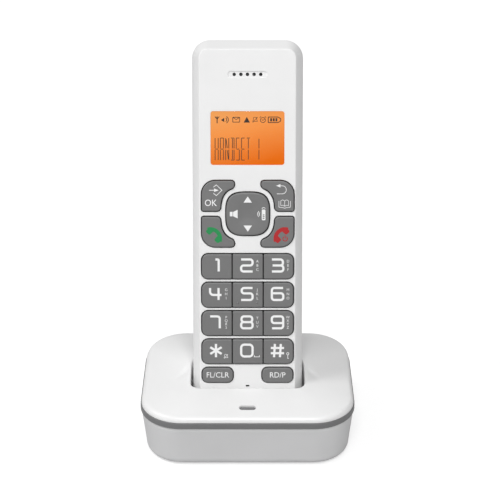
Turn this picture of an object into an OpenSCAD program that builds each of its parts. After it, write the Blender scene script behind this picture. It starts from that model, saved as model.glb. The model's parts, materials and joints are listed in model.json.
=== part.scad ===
// Cordless desk phone: a handset that stands, leaning back, in the charging pocket of its base.
// Millimetres, Z up, the keys face -Y. The origin is on the ground under the middle of the whole phone.

/* [Base] */
// Width of the base across its grey band
base_w = 94.8; // [90:0.1:105]
// Depth of the base across its grey band
base_d = 73.8; // [70:0.1:85]
// Corner radius of the base seen from above
base_r = 18.9; // [14:0.1:24]
// Height of the middle of the grey band
band_z = 22.2; // [20:0.1:26]
// Height of the grey band
band_h = 2.7; // [1.5:0.1:4]
// Thickness of the base walls
base_wall = 2; // [1.5:0.1:3]

/* [Handset] */
// Length of the handset
handset_l = 166; // [150:1:180]
// Width of the handset at its parting line
handset_w = 48.4; // [44:0.1:54]
// Thickness of the handset from face to back
handset_t = 25; // [22:0.5:30]
// Width of the flat face between its two creases
face_w = 41.8; // [38:0.1:46]
// Depth of the parting line behind the face
parting = 8; // [6:0.5:10]
// Thickness of the handset walls
handset_wall = 1.8; // [1.4:0.1:2.4]
// Angle at which the handset leans back in its pocket
lean = 18.85; // [12:0.05:22]
// Length of handset that stands inside the pocket
sunk = 14; // [10:0.5:18]

/* [Keys] */
// Distance between two rows of number keys
row_pitch = 12.6; // [12:0.1:13]
// Height of a number key
key_h = 10.85; // [9:0.05:11.2]
// Gap between a key and its window
key_gap = 0.3; // [0.2:0.05:0.4]
// How far the keys stand above the face
key_proud = 0.7; // [0.4:0.1:1.2]
// Travel of a key
key_travel = 0.8; // [0.5:0.1:1]

/* [Display] */
// Width of the display window
window_w = 31.8; // [28:0.1:34]
// Height of the display window
window_h = 23.1; // [20:0.1:24]

/* [Hidden] */
$fn = 64;
number_keys = [["key_1", "key_2", "key_3"], ["key_4", "key_5", "key_6"],
               ["key_7", "key_8", "key_9"], ["key_star", "key_0", "key_hash"]];

// Driving places on the base, measured from the middle of its footprint
slope = tan(lean);
foot_h = 0.6;                         // feet stand this far out of the tub
band_low = band_z - band_h / 2;
band_top = band_z + band_h / 2;
pocket_y = -17.1;                     // front lip of the pocket
pocket_z = 30.2;
dock_y = pocket_y - sunk * sin(lean); // bottom front edge of the docked handset
dock_z = pocket_z - sunk * cos(lean);
handset_top_r = 9;                    // rounding of the handset's top, seen from the side
top_t = handset_t - 2.2;              // thickness of the handset at its top
// The top of the leaning handset reaches furthest back, so the origin lies behind the base's middle
back_reach = dock_y + (handset_l - handset_top_r) * sin(lean)
    + (top_t - handset_top_r) * cos(lean) + handset_top_r;
origin_y = (back_reach - base_d / 2) / 2;
screw_x = 38;
screw_y = 12;
foot_x = 33;
foot_y = 24;
pcb_z = 4.2;
peg_x = 24;
peg_y = 20;
led_y = -30;
led_w = 7.1;
led_d = 2.4;
led_top = 7.2;                        // top of the lamp on the board
socket_x = [5, 21.5];                 // telephone line, then power
socket_y = 34.6;                      // mouth of the sockets, just inside the back wall
socket_z = 11.5;
socket_w = 13.4;
socket_l = 13;
page_x = -14;
page_y = 36.6;                        // outer face of the button
page_z = 13;
page_r = 4;
page_l = 5;

// Places on the handset: x across, y depth behind the face, z along it from the bottom end
face_top = handset_l - 3.9;           // crease at the top of the flat face
back_r = 11;
pocket_half = 25.3;
pocket_gap = 0.55;
row_1 = sunk + 53.8;                  // centre height of the 1 2 3 row
column_edge = [-19.95, -6.7, 6.9, 20];
nav_x = 0.1;
nav_z = sunk + 76.85;
nav_size = 19.4;
nav_ring = 12.5;                      // round cut in the four keys around the pad
window_z = sunk + 109.75;
ear_z = sunk + 137.2;
key_back = 3.6;                       // depth of the underside of the keys
flange_y = 2.3;                       // depth of the flange that stops a key falling out
flange_half = 19.4;                   // furthest that a flange reaches to the side
mat_y = 4.9;
mat_t = 1.5;
pcb_y = 6.6;
bay_half = 12.3;
bay_low = 42;
bay_high = 94;
bay_floor = 10.5;
door_half = 15;
door_low = 36;
door_high = 100;
door_t = 1.7;
cell_r = 5.25;
cell_l = 44.5;
cell_x = 5.6;
cell_y = 16.6;
cell_low = 46.6;
ringer_z = 124;
case_screw_x = 13;
case_screw_z = 24;
contact_x = 8;                        // charging contacts left and right of the middle
contact_y = 10;

// ---- Helpers ----

module round_rect(w, d, r) {
    square([w, d - 2 * r], center = true);
    square([w - 2 * r, d], center = true);
    for (sx = [-1, 1], sy = [-1, 1])
        translate([sx * (w / 2 - r), sy * (d / 2 - r)]) circle(r);
}

module slab(w, d, r, h) {
    linear_extrude(h) round_rect(w, d, r);
}

// Bar with half round ends
module pill(l, d, h) {
    linear_extrude(h) {
        square([l - d, d], center = true);
        for (s = [-1, 1]) translate([s * (l - d) / 2, 0]) circle(d / 2);
    }
}

// Puts base parts in the frame of the whole phone
module on_base() {
    translate([0, -origin_y, 0]) children();
}

// Puts handset parts in the frame of the whole phone, docked in the pocket
module on_handset() {
    translate([0, dock_y - origin_y, dock_z]) rotate([-lean, 0, 0]) children();
}

// Extrudes an outline drawn as seen from the front, from depth y over length t
module from_front(y, t) {
    translate([0, y + t, 0]) rotate([90, 0, 0]) linear_extrude(t) children();
}

// Extrudes an outline drawn as seen from the handset's end, from height z over length l
module from_end(z, l) {
    translate([0, 0, z]) linear_extrude(l) children();
}

module screw(shank_r, head_r, shank_l) {
    difference() {
        union() {
            cylinder(h = shank_l, r = shank_r);
            translate([0, 0, -1.1]) cylinder(h = 1.15, r = head_r);
        }
        translate([0, 0, -0.7]) cube([head_r * 1.1, 0.5, 0.9], center = true);
        translate([0, 0, -0.7]) cube([0.5, head_r * 1.1, 0.9], center = true);
    }
}

// ---- Base ----

// Inner or outer form of the domed top, drawn in by inset
module dome(inset) {
    rim_w = base_w - 0.9 - 2 * inset;
    rim_d = base_d - 0.9 - 2 * inset;
    hull() {
        translate([0, 0, band_top + 0.05]) slab(rim_w, rim_d, base_r - inset, 0.8);
        translate([0, 0.3, band_top + 2.2 - inset]) rotate([2, 0, 0])
            slab(rim_w - 3, rim_d - 3, base_r - 1.5 - inset, 0.6);
        translate([0, 0.6, 27.2 - inset]) rotate([2, 0, 0])
            slab(rim_w - 9, rim_d - 8, base_r - 4 - inset, 0.5);
        translate([0, -1.5, 31.2 - inset]) rotate([4.5, 0, 0]) slab(58 - inset, 30, 7, 0.3);
    }
}

// Section of the charging pocket across the handset, grown by wall
module pocket_section(wall) {
    front_r = 4.5 + wall;
    rear_r = back_r + 1 + wall;
    half = pocket_half + wall;
    front = -pocket_gap - wall;
    rear = handset_t + pocket_gap + wall;
    translate([-half + front_r, front]) square([2 * (half - front_r), rear - front]);
    translate([-half, front + front_r]) square([2 * half, rear - rear_r - front - front_r]);
    translate([-half + rear_r, front]) square([2 * (half - rear_r), rear - front]);
    for (s = [-1, 1]) {
        translate([s * (half - front_r), front + front_r]) circle(front_r);
        translate([s * (half - rear_r), rear - rear_r]) circle(rear_r);
    }
}

module base_top_shell() {
    color("whitesmoke") on_base() difference() {
        union() {
            difference() {
                dome(0);
                translate([0, 0, -0.01]) dome(base_wall);
            }
            intersection() {
                dome(0.4);
                for (sx = [-1, 1], sy = [-1, 1])
                    translate([sx * screw_x, sy * screw_y, 0]) cylinder(h = 40, r = 3);
            }
            for (sx = [-1, 1], sy = [-1, 1])
                translate([sx * screw_x, sy * screw_y, 4]) cylinder(h = band_top - 3.9, r = 3);
            translate([0, origin_y, 0]) on_handset() intersection() {
                from_end(-2.5, 40) pocket_section(1.8);
                rotate([lean, 0, 0]) translate([0, -dock_y, -dock_z]) union() {
                    dome(0.2);
                    translate([-45, -36, 5.6]) cube([90, 72, band_top - 5.5]);
                }
            }
        }
        translate([0, origin_y, 0]) on_handset() from_end(-0.5, 60) pocket_section(0);
        for (sx = [-1, 1], sy = [-1, 1])
            translate([sx * screw_x, sy * screw_y, 3]) cylinder(h = 10, r = 1.25);
        translate([0, led_y, 22]) pill(led_w + 0.2, led_d + 0.2, 12);
        // Holes for the charging pins
        translate([0, origin_y, 0]) on_handset()
            for (s = [-1, 1]) translate([s * contact_x, contact_y, -4]) cylinder(h = 4, r = 1.6);
    }
}

module trim_band() {
    color("dimgray") on_base() translate([0, 0, band_low]) difference() {
        slab(base_w, base_d, base_r, band_h);
        translate([0, 0, -1]) slab(base_w - 4, base_d - 4, base_r - 2, band_h + 2);
    }
}

// Outer form of the tub, drawn in by inset
module tub_form(inset, low) {
    hull() {
        translate([0, 0, low]) slab(84 - 2 * inset, 63 - 2 * inset, 15 - inset, 0.1);
        translate([0, 0, low + 1]) slab(88 - 2 * inset, 67 - 2 * inset, 16.5 - inset, 0.1);
        translate([0, 0, low + 3.4]) slab(90.6 - 2 * inset, 69.6 - 2 * inset, 17.4 - inset, 0.1);
        translate([0, 0, band_low - 0.15])
            slab(base_w - 0.9 - 2 * inset, base_d - 0.9 - 2 * inset, base_r - 0.5 - inset, 0.1);
    }
}

module socket_cut(x) {
    translate([x - socket_w / 2 - 0.1, socket_y - 13, socket_z - 6.1]) cube([socket_w + 0.2, 20, 12.2]);
}

module base_tub() {
    color("gainsboro") on_base() difference() {
        union() {
            difference() {
                tub_form(0, foot_h);
                tub_form(base_wall, foot_h + base_wall);
                translate([0, 0, band_low - 2]) slab(base_w - 5, base_d - 5, base_r - 2.5, 4);
            }
            // Lip that stands inside the band
            translate([0, 0, band_low - 3]) difference() {
                slab(base_w - 4.3, base_d - 4.3, base_r - 2.2, 4.4);
                translate([0, 0, -1]) slab(base_w - 7, base_d - 7, base_r - 3.5, 7);
            }
            for (sx = [-1, 1], sy = [-1, 1]) {
                translate([sx * screw_x, sy * screw_y, foot_h + 1]) cylinder(h = 2.3, r = 3.4);
                translate([sx * peg_x, sy * peg_y, foot_h + 1]) cylinder(h = pcb_z - foot_h - 1.05, r = 2);
            }
        }
        for (sx = [-1, 1], sy = [-1, 1]) {
            translate([sx * screw_x, sy * screw_y, 0]) cylinder(h = 5, r = 1.5);
            translate([sx * screw_x, sy * screw_y, 0]) cylinder(h = foot_h + 1.3, r = 2.8);
            translate([sx * foot_x, sy * foot_y, 0]) cylinder(h = foot_h + 1, r = 4.6);
        }
        for (x = socket_x) socket_cut(x);
        translate([page_x, page_y - 8, page_z]) rotate([-90, 0, 0]) cylinder(h = 20, r = page_r + 0.3);
    }
}

module rubber_feet() {
    color("#303030") on_base() for (sx = [-1, 1], sy = [-1, 1])
        translate([sx * foot_x, sy * foot_y, 0]) cylinder(h = foot_h + 0.95, r = 4.5);
}

module base_screws() {
    color("silver") on_base() for (sx = [-1, 1], sy = [-1, 1])
        translate([sx * screw_x, sy * screw_y, foot_h + 1.2]) screw(1.2, 2.4, 8);
}

module base_circuit_board() {
    color("darkgreen") on_base() difference() {
        union() {
            translate([-29, -31.2, pcb_z]) cube([58, 60, 1.2]);
            translate([-27, 21, pcb_z + 1.2]) cube([9, 6, 2.2]);
            translate([14, -29, pcb_z + 1.2]) cube([12, 9, 2.5]);
            translate([-26, -29, pcb_z + 1.2]) cube([7, 7, 7]);
        }
        // Notches around the two sockets
        for (x = socket_x)
            translate([x - socket_w / 2 - 0.2, socket_y - 13.2, pcb_z - 1]) cube([socket_w + 0.4, 20, 4]);
    }
}

module base_charge_pins() {
    color("gold") on_base() translate([0, origin_y, 0]) on_handset()
        for (s = [-1, 1]) translate([s * contact_x, contact_y, -4.4]) {
            cylinder(h = 4.3, r = 1);
            cylinder(h = 1.2, r = 2.2);
        }
}

module light_pipe() {
    color("gray") on_base() translate([0, led_y, led_top + 0.4]) {
        pill(led_w, led_d, 27.2 - led_top - 0.4);
        pill(led_w + 2, led_d + 2, 1.5);
    }
}

module indicator_led() {
    color("lightgreen") on_base() translate([-1.5, led_y - 1, pcb_z + 1.25])
        cube([3, 2, led_top - pcb_z - 1.25]);
}

// Modular socket whose mouth opens through the back of the tub
module modular_socket(x) {
    color("#2b2b2b") on_base() translate([x, socket_y, socket_z]) difference() {
        translate([-socket_w / 2, -socket_l, -6]) cube([socket_w, socket_l, 12]);
        translate([-4.9, -10, -3.4]) cube([9.8, 12, 7]);
        translate([-3.1, -10, -4.6]) cube([6.2, 12, 2]);
        translate([-1.6, -10, -5.2]) cube([3.2, 12, 2]);
    }
}

module line_socket() {
    modular_socket(socket_x[0]);
}

module power_socket() {
    modular_socket(socket_x[1]);
}

module page_button() {
    color("gray") on_base() translate([page_x, page_y - page_l, page_z]) rotate([-90, 0, 0]) {
        cylinder(h = page_l, r = page_r);
        cylinder(h = 1, r = page_r + 1);
    }
}

// ---- Handset ----

// Outline of the handset seen from the front, drawn in by inset
module front_outline(inset) {
    r = 8 - inset;
    translate([0, handset_l / 2]) round_rect(handset_w - 2 * inset, handset_l - 2 * inset, r);
}

// Section across the handset, drawn in by inset
module end_section(inset) {
    half = handset_w / 2 - inset;
    r = back_r - inset;
    face = face_w / 2 - inset * 0.75;
    polygon([[-face, inset], [face, inset], [half, parting], [-half, parting]]);
    translate([-half, parting - 0.01]) square([2 * half, handset_t - inset - r - parting + 0.01]);
    translate([-half + r, parting]) square([2 * (half - r), handset_t - inset - parting]);
    for (s = [-1, 1]) translate([s * (half - r), handset_t - inset - r]) circle(r);
}

// Side view of the handset, depth along x and length along y, drawn in by inset
module side_profile(inset) {
    top_r = handset_top_r - inset;
    low_r = 7 - inset;
    back_top = top_t - inset;
    hull() {
        translate([inset, inset]) square([1, 1]);
        polygon([[inset, face_top - inset], [parting, handset_l - inset],
                 [parting, handset_l - 12], [inset, handset_l - 30]]);
        translate([back_top - top_r, handset_l - inset - top_r]) circle(top_r);
        translate([handset_t - inset - low_r, inset + low_r]) circle(low_r);
        translate([handset_t - inset - 1, 100]) square([1, 10]);
    }
}

module handset_form(inset) {
    intersection() {
        from_front(-1, handset_t + 2) front_outline(inset);
        from_end(-1, handset_l + 2) end_section(inset);
        translate([-30, 0, 0]) rotate([90, 0, 90]) linear_extrude(60) side_profile(inset);
    }
}

// Outline of one number key in its row, grown by g; the end keys have two round corners
module number_key_outline(row, column, g) {
    low = column_edge[column] + (column == 0 ? 0 : 0.2);
    high = column_edge[column + 1] - (column == 2 ? 0 : 0.2);
    middle = row_1 - row * row_pitch;
    intersection() {
        translate([(column_edge[0] + column_edge[3]) / 2, middle])
            round_rect(column_edge[3] - column_edge[0] + 2 * g, key_h + 2 * g, 2.7 + g);
        translate([low - g, middle - key_h]) square([high - low + 2 * g, 2 * key_h]);
    }
}

module row_window(row) {
    translate([(column_edge[0] + column_edge[3]) / 2, row_1 - row * row_pitch])
        round_rect(column_edge[3] - column_edge[0] + 2 * key_gap, key_h + 2 * key_gap, 2.7 + key_gap);
}

// Outline of one of the four keys around the pad: sx left or right, sz below or above it, grown by g
module corner_key_outline(sx, sz, g) {
    inner = 5.25;
    outer = 20;
    near = 0.95;
    far = 14.45;
    r = 5.8;
    difference() {
        translate([nav_x, nav_z]) mirror([sx < 0 ? 1 : 0, 0]) mirror([0, sz < 0 ? 1 : 0]) union() {
            translate([inner - g, near - g]) square([outer - inner + 2 * g, far - near - r + g]);
            translate([inner - g, near - g]) square([outer - inner - r + g, far - near + 2 * g]);
            translate([outer - r, far - r]) circle(r + g);
        }
        translate([nav_x, nav_z]) circle(nav_ring - g);
    }
}

module lower_key_outline(s, g) {
    translate([s * 13.2, sunk + 5.45]) round_rect(13.4 + 2 * g, 6.5 + 2 * g, 2.4 + g);
}

module nav_outline(g) {
    translate([nav_x, nav_z]) round_rect(nav_size + 2 * g, nav_size + 2 * g, 7 + g);
}

module handset_front_shell() {
    color("whitesmoke") on_handset() difference() {
        intersection() {
            handset_form(0);
            translate([-30, -1, -1]) cube([60, parting + 1 - 0.05, handset_l + 2]);
        }
        handset_form(handset_wall);
        from_front(-1, 4) {
            for (row = [0:3]) row_window(row);
            for (sx = [-1, 1], sz = [-1, 1]) corner_key_outline(sx, sz, key_gap);
            for (s = [-1, 1]) lower_key_outline(s, key_gap);
            nav_outline(0.45);
            translate([0, window_z]) round_rect(window_w + 0.2, window_h + 0.2, 1.1);
        }
        for (i = [-2:2])
            translate([i * 2.86, -1, ear_z]) rotate([-90, 0, 0]) cylinder(h = 4, r = 0.75);
        from_front(-0.5, 0.9) translate([0, ear_z]) round_rect(17.1, 2.6, 1.29);
        from_front(-1, 4) translate([0, sunk + 0.5]) round_rect(1.7, 0.9, 0.4);
    }
}

module handset_rear_shell() {
    color("whitesmoke") on_handset() difference() {
        union() {
            difference() {
                intersection() {
                    handset_form(0);
                    translate([-30, parting, -1]) cube([60, 30, handset_l + 2]);
                }
                handset_form(handset_wall);
            }
            // Block that the battery bay is cut into
            intersection() {
                handset_form(0.4);
                translate([-door_half - 1.4, bay_floor - 1.2, door_low - 1.4])
                    cube([2 * door_half + 2.8, 20, door_high - door_low + 2.8]);
            }
            for (s = [-1, 1])
                translate([s * case_screw_x, parting + 0.5, case_screw_z]) rotate([-90, 0, 0])
                    cylinder(h = 15, r = 2.8);
        }
        translate([-door_half - 0.2, handset_t - door_t - 0.2, door_low - 0.2])
            cube([2 * door_half + 0.4, 5, door_high - door_low + 0.4]);
        translate([-bay_half, bay_floor, bay_low]) cube([2 * bay_half, 20, bay_high - bay_low]);
        for (s = [-1, 1]) translate([s * case_screw_x, 0, case_screw_z]) rotate([-90, 0, 0]) {
            cylinder(h = 40, r = 1.4);
            translate([0, 0, handset_t - 2]) cylinder(h = 10, r = 2.6);
        }
        // Sound slots over the ringer
        for (i = [-2:2])
            from_front(handset_t - 6, 10) translate([i * 3.2, ringer_z]) round_rect(1.3, 11, 0.64);
        // Slots for the two charging pads
        for (s = [-1, 1]) translate([s * contact_x - 2.6, contact_y - 2, -1]) cube([5.2, 4.2, 4]);
    }
}

module handset_screws() {
    color("silver") on_handset() for (s = [-1, 1])
        translate([s * case_screw_x, handset_t - 1.9, case_screw_z]) rotate([90, 0, 0]) screw(1.2, 2.3, 13);
}

module battery_door() {
    color("whitesmoke") on_handset() intersection() {
        difference() {
            handset_form(0);
            translate([-30, -1, -1]) cube([60, handset_t - door_t + 1, handset_l + 2]);
        }
        translate([-door_half, 0, door_low]) cube([2 * door_half, 30, door_high - door_low]);
    }
}

module battery_cells() {
    color("limegreen") on_handset() for (s = [-1, 1])
        translate([s * cell_x, cell_y, cell_low]) {
            cylinder(h = cell_l - 0.8, r = cell_r);
            cylinder(h = cell_l, r = 1.9);
        }
}

module battery_springs() {
    color("silver") on_handset() for (s = [-1, 1])
        translate([s * cell_x, cell_y, bay_low + 0.1]) {
            cylinder(h = cell_low - bay_low - 0.2, r1 = 3.4, r2 = 2.2);
            translate([-4, -4, 0]) cube([8, 8, 0.4]);
        }
}

module battery_plates() {
    color("silver") on_handset() for (s = [-1, 1])
        translate([s * cell_x - 4, cell_y - 4, cell_low + cell_l + 0.1])
            cube([8, 8, bay_high - cell_low - cell_l - 0.2]);
}

module display_window() {
    color("darkorange", 0.6) on_handset() {
        from_front(0.2, 1.9) translate([0, window_z]) round_rect(window_w, window_h, 1);
        from_front(2, 0.8) translate([0, window_z]) round_rect(window_w + 3.2, window_h + 3, 1);
    }
}

module lcd_panel() {
    color("orange") on_handset()
        from_front(2.95, 1.6) translate([0, window_z]) square([37, 28], center = true);
}

module backlight_panel() {
    color("white") on_handset() from_front(4.7, 1.4) translate([0, window_z]) square([37, 28], center = true);
}

module handset_circuit_board() {
    color("darkgreen") on_handset() {
        from_front(pcb_y, 1.2) translate([0, 80]) square([40, 144], center = true);
        translate([-14, pcb_y + 1.2, 132]) cube([28, 1.6, 16]);
    }
}

module handset_antenna() {
    color("goldenrod") on_handset() {
        translate([-16, 9.6, 153]) cube([32, 0.5, 6]);
        translate([-16, pcb_y + 1.25, 150]) cube([2, 0.8, 1.6]);
        translate([-16, pcb_y + 1.25, 151]) cube([2, 2.4, 2.6]);
    }
}

module earpiece_speaker() {
    color("#3a3a3a") on_handset() translate([0, handset_wall + 0.4, ear_z]) rotate([-90, 0, 0]) {
        cylinder(h = 3.6, r = 7);
        cylinder(h = 1, r = 7.5);
    }
}

module microphone() {
    color("silver") on_handset() translate([0, handset_wall + 0.3, sunk + 0.5]) rotate([-90, 0, 0])
        cylinder(h = 2.4, r = 2.3);
}

module ringer_speaker() {
    color("#3a3a3a") on_handset() translate([0, 17.2, ringer_z]) rotate([-90, 0, 0]) {
        cylinder(h = 3.6, r = 9);
        translate([0, 0, -1.4]) cylinder(h = 1.4, r = 5);
    }
}

module keypad_mat() {
    color("lightgray") on_handset() difference() {
        from_front(mat_y, mat_t) translate([0, 61]) square([40.6, 91], center = true);
        // Opening that lets the pivot of the pad rest on the board
        translate([nav_x, 0, nav_z]) rotate([-90, 0, 0]) cylinder(h = 12, r = 3.2);
    }
}

module handset_charge_pads() {
    color("gold") on_handset() for (s = [-1, 1])
        translate([s * contact_x - 2.5, contact_y - 1.9, 0.1]) cube([5, 4, 2.2]);
}

// Trims a flange so that it clears the sloped sides of the case
module flange() {
    intersection() {
        children();
        translate([-flange_half, 0]) square([2 * flange_half, handset_l]);
    }
}

module number_key(row, column) {
    middle = row_1 - row * row_pitch;
    low = column_edge[column] + (column == 0 ? 0 : 0.2);
    high = column_edge[column + 1] - (column == 2 ? 0 : 0.2);
    color("gray") on_handset() {
        from_front(-key_proud, key_back + key_proud) number_key_outline(row, column, 0);
        translate([low + 1.5, flange_y, middle - key_h / 2 - 0.65])
            cube([high - low - 3, key_back - flange_y, key_h + 1.3]);
    }
}

module corner_key(sx, sz) {
    color("gray") on_handset() {
        from_front(-key_proud, key_back + key_proud) corner_key_outline(sx, sz, 0);
        from_front(flange_y, key_back - flange_y) flange() corner_key_outline(sx, sz, 0.6);
    }
}

module lower_key(s) {
    color("gray") on_handset() {
        from_front(-key_proud, key_back + key_proud) lower_key_outline(s, 0);
        from_front(flange_y, key_back - flange_y) flange() lower_key_outline(s, 0.6);
    }
}

module nav_pivot() {
    color("lightgray") on_handset() translate([nav_x, 0, nav_z]) {
        translate([0, 3.9, 0]) rotate([-90, 0, 0]) cylinder(h = pcb_y - 4.2, r = 2.4);
    }
}

module nav_pad() {
    color("gray") on_handset() {
        from_front(-key_proud, 2.9 + key_proud) nav_outline(0);
        from_front(flange_y + 0.2, 0.8) nav_outline(0.8);
        translate([nav_x, 2.8, nav_z]) rotate([-90, 0, 0]) cylinder(h = 0.9, r = 2);
    }
}

base_top_shell();
trim_band();
base_tub();
rubber_feet();
base_screws();
base_circuit_board();
base_charge_pins();
light_pipe();
indicator_led();
line_socket();
power_socket();
page_button();
handset_front_shell();
handset_rear_shell();
handset_screws();
display_window();
lcd_panel();
backlight_panel();
handset_circuit_board();
handset_antenna();
earpiece_speaker();
microphone();
ringer_speaker();
keypad_mat();
battery_cells();
battery_springs();
battery_plates();
handset_charge_pads();
battery_door();
for (row = [0:3], column = [0:2])
    number_key(row, column);
corner_key(-1, 1);  // key_ok
corner_key(1, 1);  // key_phonebook
corner_key(-1, -1);  // key_talk
corner_key(1, -1);  // key_end
lower_key(-1);  // key_clear
lower_key(1);  // key_redial
nav_pivot();
nav_pad();
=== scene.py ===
# %% [markdown]
# # A cordless phone in its charging base
# The CAD model holds the sizes, the joints and the collision shapes. This script gives the phone its looks:
# it loads that model as a fixed frame, then builds smooth shells, keys, legends and a lit display around it.
# Every piece is drawn in millimetres in a frame of its own, and placed once, at the end, in the shared frame.

# %% Load the fixed frame
import json
import math
import bmesh
import bpy
from mathutils import Matrix, Vector


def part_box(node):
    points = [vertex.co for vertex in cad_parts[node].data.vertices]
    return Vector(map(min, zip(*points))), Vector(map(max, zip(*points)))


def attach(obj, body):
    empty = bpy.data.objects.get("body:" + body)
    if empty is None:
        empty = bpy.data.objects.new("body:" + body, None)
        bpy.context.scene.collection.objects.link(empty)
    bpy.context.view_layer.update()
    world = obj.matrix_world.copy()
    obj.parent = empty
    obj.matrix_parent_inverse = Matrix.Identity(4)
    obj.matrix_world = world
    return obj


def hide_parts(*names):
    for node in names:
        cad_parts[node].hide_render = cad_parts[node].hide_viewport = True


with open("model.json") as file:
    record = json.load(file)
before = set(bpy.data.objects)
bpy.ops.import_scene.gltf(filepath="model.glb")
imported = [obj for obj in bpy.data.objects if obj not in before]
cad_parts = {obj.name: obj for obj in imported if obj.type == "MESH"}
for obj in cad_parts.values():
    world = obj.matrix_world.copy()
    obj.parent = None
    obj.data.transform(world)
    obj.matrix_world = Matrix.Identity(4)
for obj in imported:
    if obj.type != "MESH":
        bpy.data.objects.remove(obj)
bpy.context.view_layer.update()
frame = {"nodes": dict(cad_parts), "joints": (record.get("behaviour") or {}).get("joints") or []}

nodes = frame["nodes"]

# %% [markdown]
# ## Driving sizes
# The base is a rounded box with a grey band. The handset leans back in a pocket of its top, so its parts are
# drawn upright in a frame that leans with it. The lean comes from the joint that the handset lifts out along,
# and the middle of the base from the grey band's box, so that the looks can't drift from the CAD.

# %% Frames and sizes, in millimetres
MM = 0.001
lift = next(j for j in frame["joints"] if j["name"] == "handset_lift")
LEAN = math.atan2(lift["axis"][1], lift["axis"][2])
band_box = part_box("trim_band")
BAND_W, BAND_D = [(band_box[1][i] - band_box[0][i]) / MM for i in (0, 1)]
BAND_LOW, BAND_TOP = band_box[0][2] / MM, band_box[1][2] / MM
BASE_R = 18.9

POCKET_Y, POCKET_Z = -17.1, 30.2          # front lip of the pocket, from the middle of the base
SUNK = 14.0                               # length of handset inside the pocket
HANDSET_L, HANDSET_W, HANDSET_T = 166.0, 48.4, 25.0
FACE_W, FACE_TOP = 41.8, 162.1
PARTING = 8.0                             # depth of the parting line behind the face
WALL = 1.8

DOCK = Vector((0, POCKET_Y - SUNK * math.sin(LEAN), POCKET_Z - SUNK * math.cos(LEAN)))
BASE = Matrix.Translation((0, (band_box[0][1] + band_box[1][1]) / 2, 0)) @ Matrix.Scale(MM, 4)
HANDSET = BASE @ Matrix.Translation(DOCK) @ Matrix.Rotation(-LEAN, 4, "X")
# Things on the face are drawn flat: x across, y up the handset, z out of the face
FACE = HANDSET @ Matrix.Rotation(math.radians(90), 4, "X")
# Things on the back wall of the base are drawn flat too, seen from behind
BACK = BASE @ Matrix.Rotation(math.radians(180), 4, "Z") @ Matrix.Rotation(math.radians(90), 4, "X")
print("lean in degrees:", round(math.degrees(LEAN), 2))

# %% [markdown]
# ## Camera, floor and light
# The phone is seen from the front, 26 degrees above the level, with a long lens. A wide softbox above the
# front lights the face and the top, and a smaller one on the left lays the handset's soft shadow on the right
# of the base. The floor and the background are plain white.

# %% Small helpers for objects, meshes and nodes
scene = bpy.context.scene


def place_object(name, data):
    """Puts a mesh, curve, light or camera into the scene."""
    made = bpy.data.objects.new(name, data)
    scene.collection.objects.link(made)
    return made


def to_mesh(bm, name):
    """Turns a bmesh into a mesh and frees it."""
    mesh = bpy.data.meshes.new(name)
    bm.to_mesh(mesh)
    bm.free()
    return mesh


def between(tree, value, low, high, target):
    """Maps a value from 0 to 1 onto a range and feeds it to a socket."""
    node = tree.nodes.new("ShaderNodeMapRange")
    node.inputs["To Min"].default_value = low
    node.inputs["To Max"].default_value = high
    tree.links.new(value, node.inputs["Value"])
    tree.links.new(node.outputs["Result"], target)


# %% Camera
scene.view_settings.view_transform = "Standard"
camera = place_object("camera", bpy.data.cameras.new("camera"))
camera.data.lens = 106.2
camera.data.sensor_width = 36
camera.data.clip_start = 0.01
camera.location = BASE @ Vector((1.08, -576.5, 370.4))
camera.rotation_euler = (math.radians(90 - 26), 0, 0)
scene.camera = camera


# %% Floor and lights
def stage_floor():
    bm = bmesh.new()
    bmesh.ops.create_circle(bm, cap_ends=True, segments=64, radius=3.0)
    floor = place_object("floor", to_mesh(bm, "floor"))
    return floor


def softbox(name, place, size, watts):
    """A square area light aimed at the phone."""
    light = place_object(name, bpy.data.lights.new(name, "AREA"))
    light.data.shape = "SQUARE"
    light.data.size = size
    light.data.energy = watts
    light.location = place
    light.rotation_euler = (Vector((0, 0, 0.06)) - Vector(place)).to_track_quat("-Z", "Y").to_euler()


floor = stage_floor()
softbox("front_softbox", (0.1, -1.9, 2.3), 1.3, 47)
softbox("left_softbox", (-1.9, -0.45, 2.2), 0.8, 30)
world = bpy.data.worlds.new("studio")
world.use_nodes = True
scene.world = world
sky = world.node_tree.nodes["Background"]
sky.inputs["Color"].default_value = (1, 1, 1, 1)
# The sky is white to the camera, and a weaker fill light to everything else
seen = world.node_tree.nodes.new("ShaderNodeLightPath").outputs["Is Camera Ray"]
between(world.node_tree, seen, 0.38, 1.0, sky.inputs["Strength"])

# %% [markdown]
# ## Finishes
# Moulded plastic is never one flat colour: the mould leaves a fine grain, colour and gloss vary a little
# with handling, and rubbed edges turn paler. All the plastics share those effects, so they are node groups
# that put out a height, a tone and an edge mask. Each material feeds them into its own shader.


# %% Materials and mixes
def new_material(name):
    """A material with nodes: itself, its tree and its shader."""
    mat = bpy.data.materials.new(name)
    mat.use_nodes = True
    return mat, mat.node_tree, mat.node_tree.nodes["Principled BSDF"]


def object_coords(tree):
    return tree.nodes.new("ShaderNodeTexCoord").outputs["Object"]


def mix(tree, factor, a, b, target):
    """Mixes two colours by a factor and feeds the result to a socket."""
    node = tree.nodes.new("ShaderNodeMix")
    node.data_type = "RGBA"
    node.inputs["A"].default_value = (*a, 1)
    node.inputs["B"].default_value = (*b, 1)
    tree.links.new(factor, node.inputs["Factor"])
    tree.links.new(node.outputs["Result"], target)
    return node


# %% Shared effects
def group(name, inputs, outputs):
    tree = bpy.data.node_groups.new(name, "ShaderNodeTree")
    for label, value in inputs:
        socket = tree.interface.new_socket(label, in_out="INPUT", socket_type="NodeSocketFloat")
        socket.default_value = value
    for label in outputs:
        tree.interface.new_socket(label, in_out="OUTPUT", socket_type="NodeSocketFloat")
    return tree, tree.nodes.new("NodeGroupInput"), tree.nodes.new("NodeGroupOutput")


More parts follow.
